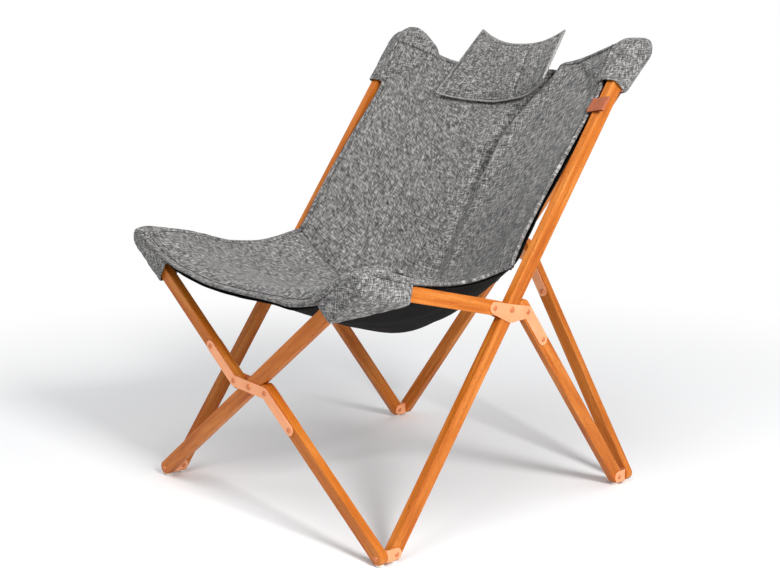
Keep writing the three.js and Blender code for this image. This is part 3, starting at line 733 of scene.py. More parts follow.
SEAT_FOLDS = [
    ([(-0.95, 0.16), (-0.78, 0.15), (-0.6, 0.2)], 10, 3),
    ([(-0.9, 0.2), (-0.72, 0.22), (-0.52, 0.28)], 10, -3),
    ([(0.95, 0.16), (0.76, 0.17), (0.6, 0.22)], 11, 3),
    ([(0.98, 0.26), (0.8, 0.28), (0.62, 0.34)], 11, -3),
    ([(-0.96, 0.42), (-0.84, 0.43), (-0.74, 0.445)], 8, 5),
    ([(-0.5, 0.02), (-0.35, 0.12), (-0.28, 0.24)], 22, 3),
    ([(0.3, 0.04), (0.2, 0.16), (0.2, 0.26)], 24, -3),
    ([(-1, 0.16), (-1, 0.3)], 30, 4),
    ([(0.5, 0.0), (0.72, 0.0)], 40, -15),
    ([(-0.7, 0.0), (-0.45, 0.0)], 40, 6),
    ([(1.08, 0.1), (1.07, 0.2)], 22, -12),
]


def fold(us, vs, path, width, height):
    """A soft fold along a path of places on the sling, rounded off at its ends."""
    place = np.stack([us * HALF_COVER, vs * SLING_LONG], -1)
    nearest = np.full(us.shape, np.inf)
    marks = [np.array([u * HALF_COVER, v * SLING_LONG]) for u, v in path]
    for a, b in zip(marks, marks[1:]):
        along = np.clip(((place - a) @ (b - a)) / ((b - a) @ (b - a)), 0, 1)
        nearest = np.minimum(nearest, np.linalg.norm(place - a - along[..., None] * (b - a), axis=-1))
    return height * MM * np.exp(-((nearest / (width * MM)) ** 2))


# Pocket hoods

HOOD_EASE = 3.4 * MM
HOOD_VOXEL = 3.0 * MM
HOOD_SWELL = 3.4 * MM
HOOD_CLOTH = 2.2 * MM
HOOD_SMOOTHING = 15
MOUTH_TRIM = 2 * MM
TIP_STEPS = 8

# Gathers that run out from a hood's ridge and fade away from the bars' ends, and the crumple all over it
GATHER_DEEP, GATHERS_PER_METRE, GATHERS_DOWN = 2.2 * MM, 95, 14
GATHER_REACH, GATHER_LEAST = 90 * MM, 0.35
CRUMPLE_DEEP, CRUMPLES_PER_METRE = 0.6 * MM, 60

# Each pocket's bars with the depth of its mouths on them, and places over the sling, their rise in millimetres
HOODS = {
    "seat_right_pocket": (
        {"front_straight_bar": 112 * MM, "right_seat_arm": 76 * MM},
        [(0.74, 0.006, -6), (0.8, 0.02, -6), (0.89, 0.04, 0), (0.96, 0.062, -4), (1, 0.1, -8)]),
    "seat_left_pocket": (
        {"front_upper_bar": 104 * MM, "left_seat_arm": 80 * MM},
        [(-0.72, 0.006, -4), (-0.8, 0.02, -2), (-0.89, 0.04, 7), (-0.96, 0.062, 6), (-1, 0.1, 0)]),
    "top_right_pocket": (
        {"back_straight_bar": 96 * MM, "right_long_bar": 88 * MM},
        [(0.66, 0.985, -3), (0.85, 0.99, -2), (0.97, 0.995, 3), (1, 0.88, -4)]),
    "top_left_pocket": (
        {"back_upper_bar": 96 * MM, "left_long_bar": 112 * MM},
        [(-0.62, 0.985, -3), (-0.66, 0.985, 24), (-0.76, 0.99, 41), (-0.84, 0.995, 46), (-0.93, 0.995, 38),
         (-1, 0.9, 0)]),
}


def bar_end(bar, toward):
    """The centre of a bar's round end that lies towards a point, and the way along the bar from there."""
    matrix, half = BARS[bar]
    along = matrix.col[0].xyz.normalized()
    reach = half[0] - half[1]
    ends = [(matrix.translation + along * reach * way, along * -way) for way in (1, -1)]
    return min(ends, key=lambda pair: (pair[0] - toward).length)


def hood_points(node, mouths, places):
    """What a hood is drawn over: the bars' ends down to its mouths, the corner's fittings and the sling."""
    points = []
    for bar, depth in mouths.items():
        matrix, half = BARS[bar]
        across, through = matrix.col[1].xyz, matrix.col[2].xyz
        end, down = bar_end(bar, middle_of(node))
        wide, deep = half[1] + HOOD_EASE, half[2] + HOOD_EASE
        turns = [math.pi * (k / TIP_STEPS - 0.5) for k in range(TIP_STEPS + 1)]
        ring = [across * wide * math.sin(t) - down * wide * math.cos(t) for t in turns]
        ring += [down * depth + across * wide, down * depth - across * wide]
        points += [end + spoke + through * deep * side for spoke in ring for side in (1, -1)]
    corner = node.replace("_pocket", "")
    points += node_points(corner + "_bracket") + node_points(corner + "_rivet")
    return points + [sling(u, v) + Z * rise * MM for u, v, rise in places]


def drawn_over(name, points):
    """A skin drawn tight over points, its corners smoothed."""
    body = bmesh.new()
    for point in points:
        body.verts.new(point)
    hull = bmesh.ops.convex_hull(body, input=body.verts, use_existing_faces=False)
    unused = {g for g in hull["geom_interior"] + hull["geom_unused"] if isinstance(g, bmesh.types.BMVert)}
    bmesh.ops.delete(body, geom=list(unused), context="VERTS")
    piece = to_object(name, body, LINEN)
    modify(piece, "REMESH", mode="VOXEL", voxel_size=HOOD_VOXEL)
    modify(piece, "SMOOTH", factor=0.5, iterations=HOOD_SMOOTHING)
    settle(piece)
    return piece


def gather_hood(body, ends, ridge):
    """Swells a hood, with gathers that run out from its ridge."""
    body.normal_update()
    for vert in body.verts:
        drawn = vert.co * GATHERS_DOWN
        gathers = noise.noise(Vector((vert.co.dot(ridge) * GATHERS_PER_METRE, drawn.z, drawn.x)))
        depth = min((vert.co - end).length for end, _ in ends)
        near = max(GATHER_LEAST, 1 - depth / GATHER_REACH)
        crumple = noise.noise(vert.co * CRUMPLES_PER_METRE)
        vert.co += vert.normal * (HOOD_SWELL + GATHER_DEEP * gathers * near + CRUMPLE_DEEP * crumple)


def box_uv(mesh):
    """UV metres by the direction that each face looks in."""
    layer = mesh.uv_layers.new(name="weave")
    for face in mesh.polygons:
        way = max(range(3), key=lambda k: abs(face.normal[k]))
        first, second = [k for k in range(3) if k != way]
        for loop in face.loop_indices:
            point = mesh.vertices[mesh.loops[loop].vertex_index].co
            layer.data[loop].uv = (point[first], point[second])


def hood(node, mouths, places):
    """A corner of the sling, drawn over two bar ends and open where the bars leave it."""
    piece = drawn_over(node + "_hood", hood_points(node, mouths, places))
    middle = middle_of(node)
    ends = [bar_end(bar, middle) for bar in mouths]
    body = bmesh.new()
    body.from_mesh(piece.data)
    gather_hood(body, ends, (sling(*places[0][:2]) - sling(*places[-1][:2])).normalized())
    for (end, down), depth in zip(ends, mouths.values()):
        cut_behind(body, end + down * (depth - MOUTH_TRIM), -down)
    body.to_mesh(piece.data)
    body.free()
    modify(piece, "SOLIDIFY", thickness=HOOD_CLOTH, offset=-1)
    settle(piece)
    box_uv(piece.data)
    shade_smooth(piece.data)
    gather(piece)
    stand_for(piece, node)
    return piece


# The cover clears the right front hood, and runs into the others
HOOD_CLEARANCE = {"seat_right_pocket": 2.6 * MM}
HOOD_TREES = []
for name, (mouths, places) in HOODS.items():
    HOOD_TREES.append((surface_tree(hood(name, mouths, places)), HOOD_CLEARANCE.get(name, 0)))


# Stitches and cords

# The thread is drawn thick and nearly black, so that the stitch rows also carry the painted shade of the seam
# grooves
STITCH_PITCH, STITCH_LONG, THREAD_RADIUS = 4.4 * MM, 3.7 * MM, 0.85 * MM
STITCH_SIZES = {"Pitch": STITCH_PITCH, "Stitch length": STITCH_LONG, "Thread radius": THREAD_RADIUS}


def stitch_tree():
    """A geometry tree that lays stitches one after another along the edges of a mesh."""
    tree = bpy.data.node_groups.new("stitch_row", "GeometryNodeTree")
    tree.interface.new_socket("Geometry", in_out="INPUT", socket_type="NodeSocketGeometry")
    for size in STITCH_SIZES:
        tree.interface.new_socket(size, in_out="INPUT", socket_type="NodeSocketFloat")
    tree.interface.new_socket("Thread", in_out="INPUT", socket_type="NodeSocketMaterial")
    tree.interface.new_socket("Geometry", in_out="OUTPUT", socket_type="NodeSocketGeometry")
    given = add(tree, "NodeGroupInput").outputs
    path = add(tree, "GeometryNodeMeshToCurve", {"Mesh": given["Geometry"]}).outputs[0]
    even = add(tree, "GeometryNodeResampleCurve", {"Curve": path, "Length": given["Pitch"]}, mode="LENGTH")
    ball = add(tree, "GeometryNodeMeshUVSphere", {"Segments": 6, "Rings": 4, "Radius": 1.0}).outputs[0]
    half = add(tree, "ShaderNodeMath", {0: given["Stitch length"], 1: 0.5}, operation="MULTIPLY").outputs[0]
    sizes = {"X": half, "Y": given["Thread radius"], "Z": given["Thread radius"]}
    size = add(tree, "ShaderNodeCombineXYZ", sizes).outputs[0]
    stitch = add(tree, "GeometryNodeTransform", {"Geometry": ball, "Scale": size}).outputs[0]
    ahead = add(tree, "GeometryNodeInputTangent").outputs[0]
    turn = add(tree, "FunctionNodeAlignRotationToVector", {"Vector": ahead}, axis="X").outputs[0]
    links = {"Points": even.outputs[0], "Instance": stitch, "Rotation": turn}
    laid = add(tree, "GeometryNodeInstanceOnPoints", links).outputs[0]
    real = add(tree, "GeometryNodeRealizeInstances", {"Geometry": laid}).outputs[0]
    done = add(tree, "GeometryNodeSetMaterial", {"Geometry": real, "Material": given["Thread"]}).outputs[0]
    add(tree, "NodeGroupOutput", {"Geometry": done})
    return tree


STITCH_TREE = stitch_tree()


def stitches(name, lines):
    """Rows of stitches along lines of points, as one plain mesh."""
    points, edges = [], []
    for line in lines:
        edges += [(k, k + 1) for k in range(len(points), len(points) + len(line) - 1)]
        points += [tuple(Vector(point)) for point in line]
    mesh = bpy.data.meshes.new(name)
    mesh.from_pydata(points, edges, [])
    piece = to_scene(name, mesh)
    rows = modify(piece, "NODES", node_group=STITCH_TREE)
    given = {**STITCH_SIZES, "Thread": THREAD_AND_SEAM_SHADE}
    for item in STITCH_TREE.interface.items_tree:
        if item.in_out == "INPUT" and item.name in given:
            rows[item.identifier] = given[item.name]
    settle(piece)
    shade_smooth(piece.data)
    return piece


def cord(name, points, radii, finish, sides, closed=False):
    """A round cord through points, open and capped or closed on itself."""
    count = len(points)
    body = bmesh.new()
    weave = body.loops.layers.uv.new("weave")
    turns = [2 * math.pi * s / sides for s in range(sides)]
    rings, run, across = [], [0.0], None
    for k, point in enumerate(points):
        before = points[k - 1] if closed or k else point
        after = points[(k + 1) % count] if closed or k < count - 1 else point
        ahead = (after - before).normalized()
        across = ahead.cross(Z) if across is None else across - ahead * across.dot(ahead)
        across = across.normalized()
        up = across.cross(ahead)
        spokes = [across * math.cos(t) + up * math.sin(t) for t in turns]
        rings.append([body.verts.new(point + spoke * radii[k]) for spoke in spokes])
        run.append(run[-1] + (after - point).length)
    for a in range(count if closed else count - 1):
        side = 2 * math.pi * radii[a] / sides
        for s, face in enumerate(bridge(body, rings[a], rings[(a + 1) % count])):
            corners = ((run[a], s), (run[a], s + 1), (run[a + 1], s + 1), (run[a + 1], s))
            for loop, (x, y) in zip(face.loops, corners):
                loop[weave].uv = (x, y * side)
    if not closed:
        body.faces.new(rings[0])
        body.faces.new(rings[-1][::-1])
    bmesh.ops.recalc_face_normals(body, faces=body.faces)
    return to_object(name, body, finish)


# The rolled hem that stands over the right front pocket: places over the sling, rise and radius in millimetres
ROLL = [(0.6, 0.004, -4, 3), (0.68, 0.01, -6, 5), (0.75, 0.0105, 1, 6.5), (0.81, 0.0125, 9, 7.5),
        (0.87, 0.015, 15.5, 8), (0.925, 0.0215, 17, 8.5), (0.975, 0.028, 17, 8.5), (1.02, 0.038, 15, 8.5),
        (1.057, 0.058, 10, 8), (1.079, 0.082, 2, 8), (1.085, 0.114, -5, 7.5), (1.085, 0.1445, -7, 7),
        (1.07, 0.1845, -6.5, 6), (1.04, 0.2325, -3, 4.5), (1.0, 0.27, 0, 3)]
ROLL_STEPS, ROLL_SIDES = 120, 18
ROLL_OUT = 10 * MM
SEAM_TURNS = (-0.95, -0.35)
SEAM_SHORT = 4


def roll_place(u, v, rise):
    """A place over the sling, carried on straight across beyond its edge."""
    place = sling(min(u, 1), v) + Z * rise * MM
    place.x = u * HALF_COVER
    return place


def hem_roll(name):
    """The cover's right hem, rolled and stitched, where it stands over the pocket."""
    rows = spline(ROLL, np.linspace(0, 1, ROLL_STEPS))
    radii = rows[:, 3]
    points = [roll_place(u, v, rise) for u, v, rise, _ in rows]
    side = facing((points[-1] - points[0]).cross(Z).normalized(), X)
    plump = (radii - radii.min()) / (radii.max() - radii.min())
    points = [point + side * ROLL_OUT * share for point, share in zip(points, plump)]
    seams = []
    for turn in SEAM_TURNS:
        away = side * math.cos(turn) + Z * math.sin(turn)
        line = [point + away * radius * MM for point, radius in zip(points, radii)]
        seams.append(line[SEAM_SHORT:-SEAM_SHORT])
    return [cord(name, points, radii * MM, LINEN, ROLL_SIDES), stitches(name + "_stitches", seams)]


# How the covers rise over the hoods

RISE_GRID, RISE_BLUR = 121, 10
RISE_LIMIT, RISE_BELOW = 60 * MM, 2 * MM


def rise_over(tree, clearance, points, normals):
    """How far the cover rises over one hood, on an even grid, with soft slopes round it."""
    rise = np.zeros(points.shape[:2])
    for index in np.ndindex(rise.shape):
        place, way = Vector(points[index]), Vector(normals[index])
        hit, _, _, distance = tree.ray_cast(place + way * RISE_LIMIT, -way, RISE_LIMIT + RISE_BELOW)
        if hit is not None:
            rise[index] = max(0, RISE_LIMIT - distance + clearance)
    soft = rise
    for _ in range(RISE_BLUR):
        wide = np.pad(soft, 1, mode="edge")
        soft = (wide[1:-1, 1:-1] * 2 + wide[:-2, 1:-1] + wide[2:, 1:-1] + wide[1:-1, :-2] + wide[1:-1, 2:]) / 6
        if clearance > 0:
            soft = np.maximum(soft, rise)
    return soft


def rise_over_hoods():
    """How far the cover rises over all the hoods, on an even grid over the sling."""
    points = sling_points(np.linspace(-1, 1, RISE_GRID), np.linspace(0, 1, RISE_GRID))
    normals = surface_normals(points)
    return np.max([rise_over(tree, clearance, points, normals) for tree, clearance in HOOD_TREES], axis=0)


def sample(table, us, vs):
    """An even grid's values at places over the sling."""
    x = np.clip((us + 1) / 2, 0, 1) * (table.shape[1] - 1)
    y = np.clip(vs, 0, 1) * (table.shape[0] - 1)
    i, j = np.minimum(x.astype(int), table.shape[1] - 2), np.minimum(y.astype(int), table.shape[0] - 2)
    low = between(table[j, i], table[j, i + 1], x - i)
    high = between(table[j + 1, i], table[j + 1, i + 1], x - i)
    return between(low, high, y - j)


HOOD_RISE = rise_over_hoods()


# Covers

COVER_THICK = 3.2 * MM
HEM_HALF, HEM_SWELL, HEM_LEAST = 4.6 * MM, 2.2 * MM, 0.003
STITCH_INSET, STITCH_DIP, STITCH_GROOVE = 12 * MM, 0.8 * MM, 1.4 * MM
FINE_STEP, COARSE_STEP, FINE_REACH = 0.9 * MM, 4.6 * MM, 16 * MM
CALM_REACH, CALM_LEAST = 3 * FINE_REACH, 0.7

# The width that a cover's points are spaced out for, with most of what its right corner adds
WIDEST_COVER = 2 * HALF_COVER * 1.08
COVER_CRUMPLES = ((1.7 * MM, 9), (0.5 * MM, 34))

# The crease between seat and back: where it lies, the gap between their cloths, and how the covers dip into it
CREASE = 5 / 11
CREASE_GAP = 0.0014
CREASE_DIP, CREASE_REACH = 16 * MM, 13 * MM

# The cover's right hem: how it turns in at the front corner and reaches out over the pocket, to meet the roll
CORNER_CUT = [(0.74, 0.0), (0.81, 0.01), (0.9, 0.018), (0.97, 0.026), (1.03, 0.04), (1.065, 0.06),
              (1.085, 0.09), (1.085, 0.145), (1.07, 0.185), (1.035, 0.235), (1.0, 0.28), (1.0, 1.0)]


def ticks(length):
    """Shares from 0 to 1 along a length, close together at its ends, for the hems."""
    low = np.arange(0, FINE_REACH, FINE_STEP)
    high = length - low[::-1]
    count = max(2, round((high[0] - low[-1]) / COARSE_STEP))
    return np.concatenate([low, np.linspace(low[-1], high[0], count + 1)[1:-1], high]) / length


def cover_grid(start, end):
    """A cover's places over the sling, from v start to v end, its right hem cut to the corner."""
    us, vs = ticks(WIDEST_COVER) * 2 - 1, start + ticks((end - start) * SLING_LONG) * (end - start)
    grid_u, grid_v = np.meshgrid(us, vs)
    corner = np.interp(grid_v, [v for _, v in CORNER_CUT], [u for u, _ in CORNER_CUT])
    return np.where(grid_u > 0, grid_u * corner, grid_u), grid_v


def half_thickness(inset):
    """Half a cover's thickness at so far from its hem: round in the rolled hem, less in the stitched groove."""
    round_off = np.sqrt(np.clip(1 - ((inset - HEM_HALF) / HEM_HALF) ** 2, HEM_LEAST, 1))
    round_off = round_off * (COVER_THICK / 2 + HEM_SWELL)
    half = np.maximum(COVER_THICK / 2, np.where(inset < 2 * HEM_HALF, round_off, 0))
    half = np.where(inset < HEM_HALF, round_off, half)
    return half - STITCH_DIP * np.exp(-(((inset - STITCH_INSET) / STITCH_GROOVE) ** 2))


def hem_stitches(name, raised, over, from_end):
    """Stitches in the groove along a cover's two sides and its hem."""
    rows, columns = over.shape
    i = int(np.argmin(np.abs(over[rows // 2] - STITCH_INSET)))
    j = int(np.argmin(np.abs(from_end[:, columns // 2] - STITCH_INSET)))
    return stitches(name + "_stitches", [raised[:, i], raised[:, -1 - i], raised[j, i:-i]])


def cover(name, node, start, end, folds, hem_at_end, trims=()):
    """One cover from v start to v end: rolled hems, a stitched groove, folds and a slight crumple."""
    grid_u, grid_v = cover_grid(start, end)
    points = sling_points(grid_u, grid_v[:, 0])
    down, over = run_lengths(points, 0), run_lengths(points, 1)
    total_over, total_down = over[:, -1:], down[-1:]
    from_end, from_crease = (total_down - down, down) if hem_at_end else (down, total_down - down)
    inset = np.minimum(np.minimum(over, total_over - over), from_end)
    relief = sum(fold(grid_u, grid_v, *row) for row in folds)
    for (deep, per_metre), seed in zip(COVER_CRUMPLES, (start, end)):
        relief = relief + deep * soft_noise(points, per_metre, seed)
    relief = relief - CREASE_DIP * np.exp(-from_crease / CREASE_REACH)
    calm = np.clip(inset / CALM_REACH, CALM_LEAST, 1)
    rise = sample(HOOD_RISE, grid_u, grid_v)
    points = points + surface_normals(points) * (relief * calm + rise)[..., None]
    normals, half = surface_normals(points), half_thickness(inset)[..., None]
    places = np.stack([over - total_over / 2, down], -1)
    piece = sheet_mesh(name, LINEN, points + normals * half, points - normals * half, places)
    sewn = hem_stitches(name, points + normals * (half + THREAD_RADIUS / 2), over, from_end)
    hang(piece, node, [sewn, *trims])
    return piece


SEAT_END, BACK_START = CREASE - CREASE_GAP, CREASE + CREASE_GAP
cover("seat_cloth", "seat_cover", 0, SEAT_END, SEAT_FOLDS, False, hem_roll("seat_hem_roll"))
BACK_CLOTH = cover("back_cloth", "back_cover", BACK_START, 1, BACK_FOLDS, True)


# Linings

LINING_THICK = 1.6 * MM
LINING_GRID = (90, 80)
LINING_RIPPLE, LINING_RIPPLES_PER_METRE = 2.2 * MM, 16
LINING_OVERLAP, LINING_INSET = 0.009, 0.008

# How far the lining lies behind the cover's middle surface at its sides, and how much lower it hangs in its
# middle: first at the front hem, then from LINING_FRONT on. Up the back it is drawn a little tighter
LINING_BEHIND = (5 * MM, 9 * MM)
LINING_SAG = (6 * MM, 26 * MM)
LINING_FRONT = 0.2
LINING_TIGHTER, LINING_TIGHTENS = 3 * MM, (0.3, 0.8)

# By what share of its width it draws in at the front hem, and where it has its full width again
LINING_NARROWS, LINING_FULL = 0.3, 0.25


def under_cloth(name, node, start, end, folds=()):
    """Part of the black under-sling, close to the cover at its edges and hanging clear in the middle. It gives
    way under the cover's folds that go down."""
    us, vs = np.linspace(-1, 1, LINING_GRID[0]), np.linspace(start, end, LINING_GRID[1])
    narrow = 1 - LINING_NARROWS * np.clip(1 - vs / LINING_FULL, 0, 1) ** 2
    grid_u = us * narrow[:, None]
    grid_v = np.broadcast_to(vs[:, None], grid_u.shape)
    points = sling_points(grid_u, vs)
    front = np.clip(vs / LINING_FRONT, 0, 1)[:, None]
    tighter = LINING_TIGHTER * smooth_step(*LINING_TIGHTENS, vs)[:, None]
    sag = between(LINING_SAG[0], LINING_SAG[1] - tighter, front) * (1 - us**2)
    ripple = LINING_RIPPLE * soft_noise(points, LINING_RIPPLES_PER_METRE, 2)
    pushed = sum(fold(grid_u, grid_v, *row) for row in folds if row[2] < 0)
    behind = between(*LINING_BEHIND, front) + sag + ripple - pushed
    points = points - surface_normals(points) * behind[..., None]
    normals = surface_normals(points) * (LINING_THICK / 2)
    wide, long = float(run_lengths(points, 1)[:, -1].max()), float(run_lengths(points, 0)[-1].max())
    places = np.stack(np.meshgrid((us + 1) / 2 * wide, (vs - start) / (end - start) * long), -1)
    piece = sheet_mesh(name, BLACK, points + normals, points - normals, places)
    hang(piece, node)


under_cloth("seat_under_cloth", "seat_lining", LINING_INSET, SEAT_END + LINING_OVERLAP, SEAT_FOLDS)
under_cloth("back_under_cloth", "back_lining", BACK_START, 1)


# Headrest pillow

# Half its width at its low and its high edge, how deep and how high these lie at its sides, and how far they
# sag in the middle
PILLOW_HALF = (156 * MM, 118 * MM)
PILLOW_LOW, PILLOW_HIGH = (610 * MM, 800 * MM), (716 * MM, 906 * MM)
SAG_LOW, SAG_HIGH = (28 * MM, -38 * MM), (-22 * MM, -30 * MM)
PILLOW_BOW = (1.8, 3.2)
PILLOW_DROOP, PILLOW_LIFT = 29 * MM, 14 * MM
PILLOW_CROWN, PILLOW_EDGE = 9.5 * MM, 1.4 * MM
CROWN_POWERS = (6, 5)
CROWN_UNEVEN, CROWN_LUMPS_PER_METRE = 0.18, 22
PILLOW_BEHIND_SHARE = 0.35
PILLOW_TALL = np.hypot(PILLOW_HIGH[0] - PILLOW_LOW[0], PILLOW_HIGH[1] - PILLOW_LOW[1])
PILLOW_CLOTH = 150 * MM
PILLOW_GRID = (180, 110)
PILLOW_SEAM, PILLOW_GROOVE = 7 * MM, 1.3 * MM
PIPING_RADIUS, PIPING_SIDES = 2.6 * MM, 8

# Folds down the pillow: where they start, how they lean, their half width, and their height in millimetres
PILLOW_FOLDS = [(0.3, 0.1, 0.045, -7), (-0.45, 0.05, 0.07, -2), (0.7, 0.02, 0.05, -2)]

# How far the pillow stays off the back cover, the height share where it is free of it, and the ease below that
PILLOW_CLEAR = 8 * MM
PILLOW_FREE, PILLOW_EASE = 0.75, 0.25
BACK_LOOKS = Vector((0, -1, 0.6))


def pillow_place(u, v):
    """A place in the pillow's middle surface: u from -1 to 1 across, v from 0 at its low edge to 1."""
    bow = 1 - abs(u) ** PILLOW_BOW[int(u > 0)]
    sag = [between(SAG_LOW[k], SAG_HIGH[k], v) * bow for k in (0, 1)]
    place = [between(PILLOW_LOW[k], PILLOW_HIGH[k], v) + sag[k] for k in (0, 1)]
    place[1] += (PILLOW_LIFT * ((1 + u) / 2) ** 2 - PILLOW_DROOP * ((1 - u) / 2) ** 2) * (1 - v)
    return [u * between(*PILLOW_HALF, v), place[0] + PIN_Y, place[1] + PIN_Z]


def clear_of(tree, points, clearance):
    """The points moved out along the cloth's face wherever they lie less than a clearance before it."""
    moved = points.copy()
    for index in np.ndindex(points.shape[:2]):
        point = Vector(points[index])
        place, normal, _, _ = tree.find_nearest(point)
        normal = facing(normal, BACK_LOOKS)
        gap = (point - place).dot(normal)
        if gap < clearance:
            moved[index] = point + normal * (clearance - gap)
    return moved


def pillow_middle(us, vs):
    """The pillow's middle surface, its lower part held clear of the back cover."""
    points = np.array([[pillow_place(u, v) for u in us] for v in vs])
    held = np.clip((PILLOW_FREE - vs) / PILLOW_EASE, 0, 1)[:, None, None]
    return points + (clear_of(surface_tree(BACK_CLOTH), points, PILLOW_CLEAR) - points) * held


def pillow_crown(points, grid_u, grid_v):
    """Half the pillow's thickness, and the dents that its folds make in the front."""
    swell = (1 - np.abs(grid_u) ** CROWN_POWERS[0]) ** 0.5
    swell = swell * (1 - np.abs(2 * grid_v - 1) ** CROWN_POWERS[1]) ** 0.5
    swell = swell * (1 + CROWN_UNEVEN * soft_noise(points, CROWN_LUMPS_PER_METRE, 4))
    dents = sum(height * MM * np.exp(-(((grid_u - at - lean * grid_v) / width) ** 2)) * swell
                for at, lean, width, height in PILLOW_FOLDS)
    return between(PILLOW_EDGE, PILLOW_CROWN, swell), dents


def pillow():
    """A flat stuffed pillow whose wings curve to the front, with a piped seam all round."""
    us, vs = np.linspace(-1, 1, PILLOW_GRID[0] + 1), np.linspace(0, 1, PILLOW_GRID[1] + 1)
    grid_u, grid_v = np.meshgrid(us, vs)
    points = pillow_middle(us, vs)
    normals = surface_normals(points)
    half, dents = pillow_crown(points, grid_u, grid_v)
    in_u, in_v = (1 - np.abs(grid_u)) * PILLOW_HALF[1], np.minimum(grid_v, 1 - grid_v) * PILLOW_TALL
    seam = np.exp(-(((np.minimum(in_u, in_v) - PILLOW_SEAM) / PILLOW_GROOVE) ** 2))
    front = points + normals * (half + dents - PILLOW_GROOVE * seam)[..., None]
    behind = points - normals * (half * PILLOW_BEHIND_SHARE)[..., None]
    places = np.stack([grid_u * PILLOW_HALF[0], grid_v * PILLOW_CLOTH], -1)
    piece = sheet_mesh("headrest_cushion", LINEN, front, behind, places)
    rim = [Vector(point) for point in rim_of(points)]
    piping = cord("headrest_piping", rim, [PIPING_RADIUS] * len(rim), PIPING_LIT, PIPING_SIDES, closed=True)
    i = int(np.argmin(np.abs(in_u[0, : PILLOW_GRID[0] // 2] - PILLOW_SEAM)))
    j = int(np.argmin(np.abs(in_v[: PILLOW_GRID[1] // 2, 0] - PILLOW_SEAM)))
    lines = [front[j, i:-i], front[-1 - j, i:-i], front[j:-j, i], front[j:-j, -1 - i]]
    for part in (piece, piping, stitches("headrest_stitches", lines)):
        gather(part)
        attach(part, "headrest")
    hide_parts("headrest_pillow")


pillow()


# Leather tab

TAB_SHARE = 0.838
TAB_LONG = 32 * MM
TAB_INWARD, TAB_OUTWARD = 2 * MM, 43 * MM
TAB_LEATHER = 1.7 * MM
TAB_LIFT = 13 * MM
TAB_STEPS, TAB_ROWS = 40, 12

# The share of the strip in each of its two layers, with the rest in the turn, and how close they lie there
TAB_LAYER_SHARE = 0.4
TAB_CLOSE_SHARE = 0.9


def tab_path(at, out, through):
    """The strip's middle line: out from the hem, round the turn and back on the other side."""
    core = COVER_THICK / 2 + HEM_SWELL + TAB_LEATHER
    reach = TAB_INWARD + TAB_OUTWARD - TAB_LEATHER
    path = []
    for k in range(TAB_STEPS + 1):
        share = k / TAB_STEPS
        turn = math.pi * min(max((share - TAB_LAYER_SHARE) / (1 - 2 * TAB_LAYER_SHARE), 0), 1)
        from_edge = min(share, TAB_LAYER_SHARE, 1 - share) / TAB_LAYER_SHARE * reach - TAB_INWARD
        loose = float(smooth_step(-TAB_INWARD, TAB_OUTWARD, from_edge))
        half = between(core, TAB_LEATHER * TAB_CLOSE_SHARE, loose)
        bulge = math.sin(turn) * TAB_LEATHER
        path.append(at + out * (from_edge + bulge) + through * (half * math.cos(turn) + TAB_LIFT * loose))
    return path


def leather_tab():
    """A strip of leather folded over the sling's edge, its loop standing out over the bar."""
    along = (sling(1, TAB_SHARE + 0.01) - sling(1, TAB_SHARE - 0.01)).normalized()
    through = facing(along.cross(X).normalized(), -Y)
    out = facing(through.cross(along).normalized(), X)
    path = tab_path(sling(1, TAB_SHARE), out, through)
    body = bmesh.new()
    rows = []
    for k, point in enumerate(path):
        ahead = (path[min(k + 1, TAB_STEPS)] - path[max(k - 1, 0)]).normalized()
        normal = ahead.cross(along).normalized() * (TAB_LEATHER / 2)
        places = [along * TAB_LONG * (j / TAB_ROWS - 0.5) for j in range(TAB_ROWS + 1)]
        rows.append([body.verts.new(point + (place + normal) * side) for side in (1, -1) for place in places])
    for a, b in zip(rows, rows[1:]):
        bridge(body, a, b)
    body.faces.new(rows[0][::-1])
    body.faces.new(rows[-1])
    bmesh.ops.recalc_face_normals(body, faces=body.faces)
    piece = to_object("folded_tab", body, LEATHER)
    sharpen(piece, 40)
    stand_for(piece, "leather_tab")


leather_tab()


# Camera, floor and light

WHITE = (1, 1, 1, 1)
WORLD_COLOUR, WORLD_STRENGTH = (0.95, 0.97, 1, 1), 0.46
LAMPS = [("key", (3.0, -0.7, 2.3), 0.8, 122), ("overhead", (0.4, -1.6, 3.8), 2.6, 66)]
LAMPS_AIM = Vector((0, 0, 0.45))
FLOOR_RADIUS, FLOOR_SIDES = 12, 64
FLOOR_NEAR, FLOOR_FAR = 0.75, 2.1


def look(thing, place, way):
    """Puts a camera or a lamp in its place, to look one way."""
    thing.location = place
    thing.rotation_mode = "QUATERNION"
    thing.rotation_quaternion = way.to_track_quat("-Z", "Y")


def camera():
    azimuth, elevation = math.radians(CAMERA_AZIMUTH), math.radians(CAMERA_ELEVATION)
    level = math.cos(elevation)
    back = Vector((math.sin(azimuth) * level, -math.cos(azimuth) * level, math.sin(elevation)))
    data = bpy.data.cameras.new("camera")
    data.lens = CAMERA_LENS
    data.sensor_width = 36
    lens = to_scene("camera", data)
    look(lens, CAMERA_PLACE, -back)
    bpy.context.scene.camera = lens


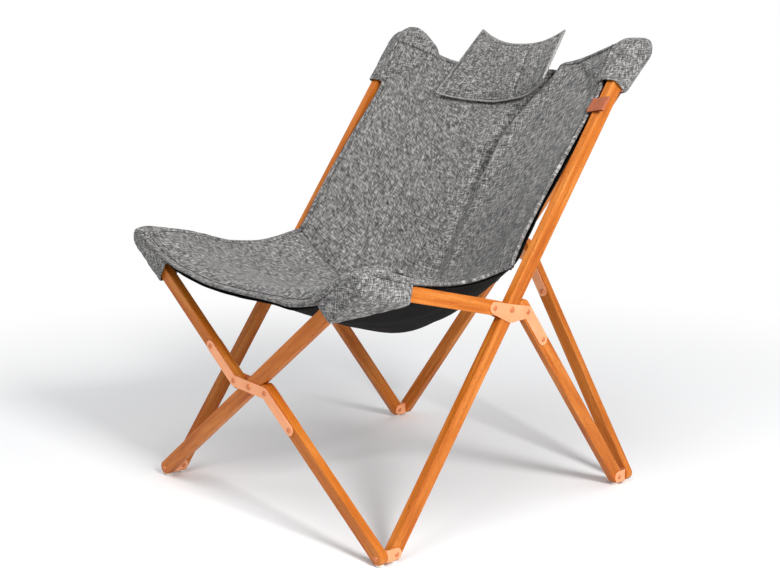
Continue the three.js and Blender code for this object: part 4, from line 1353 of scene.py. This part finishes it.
def white_to_camera(tree, shader, output, share=1.0):
    """White, or a share of it, where the camera, a gloss or a clear body looks straight at it, and its own
    finish elsewhere."""
    rays = add(tree, "ShaderNodeLightPath").outputs
    seen = rays["Is Camera Ray"]
    for kind, other in (("MAXIMUM", rays["Is Glossy Ray"]), ("MAXIMUM", rays["Is Transmission Ray"]),
                        ("MULTIPLY", share)):
        seen = add(tree, "ShaderNodeMath", {0: seen, 1: other}, operation=kind).outputs[0]
    is_world = output.bl_idname == "ShaderNodeOutputWorld"
    glow = "ShaderNodeBackground" if is_world else "ShaderNodeEmission"
    white = add(tree, glow, {"Color": WHITE, "Strength": 1.0})
    both = add(tree, "ShaderNodeMixShader", {0: seen, 1: shader, 2: white.outputs[0]})
    tree.links.new(both.outputs[0], output.inputs["Surface"])


def light():
    world = bpy.data.worlds.new("studio")
    bpy.context.scene.world = world
    world.use_nodes = True
    tree = world.node_tree
    tree.nodes.clear()
    output = add(tree, "ShaderNodeOutputWorld")
    fill = add(tree, "ShaderNodeBackground", {"Color": WORLD_COLOUR, "Strength": WORLD_STRENGTH})
    white_to_camera(tree, fill.outputs[0], output)
    for name, place, size, power in LAMPS:
        data = bpy.data.lights.new(name, "AREA")
        data.size = size
        data.energy = power
        look(to_scene(name, data), place, LAMPS_AIM - Vector(place))


def floor():
    """Pale paper that keeps the chair's shadow, and turns to the background's white further out."""
    made, tree, shader = start_material("studio_paper", {"Base Color": linear("#F4F4F4"), "Roughness": 0.9})
    place = add(tree, "ShaderNodeTexCoord").outputs["Object"]
    far = add(tree, "ShaderNodeVectorMath", {0: place}, operation="LENGTH").outputs["Value"]
    links = {"Value": far, "From Min": FLOOR_NEAR, "From Max": FLOOR_FAR}
    fade = add(tree, "ShaderNodeMapRange", links, interpolation_type="SMOOTHSTEP").outputs["Result"]
    output = next(node for node in tree.nodes if node.bl_idname == "ShaderNodeOutputMaterial")
    white_to_camera(tree, shader.outputs["BSDF"], output, fade)
    body = bmesh.new()
    bmesh.ops.create_circle(body, cap_ends=True, radius=FLOOR_RADIUS, segments=FLOOR_SIDES)
    to_object("floor", body, made)


camera()
light()
floor()
bpy.context.scene.view_settings.view_transform = "Standard"
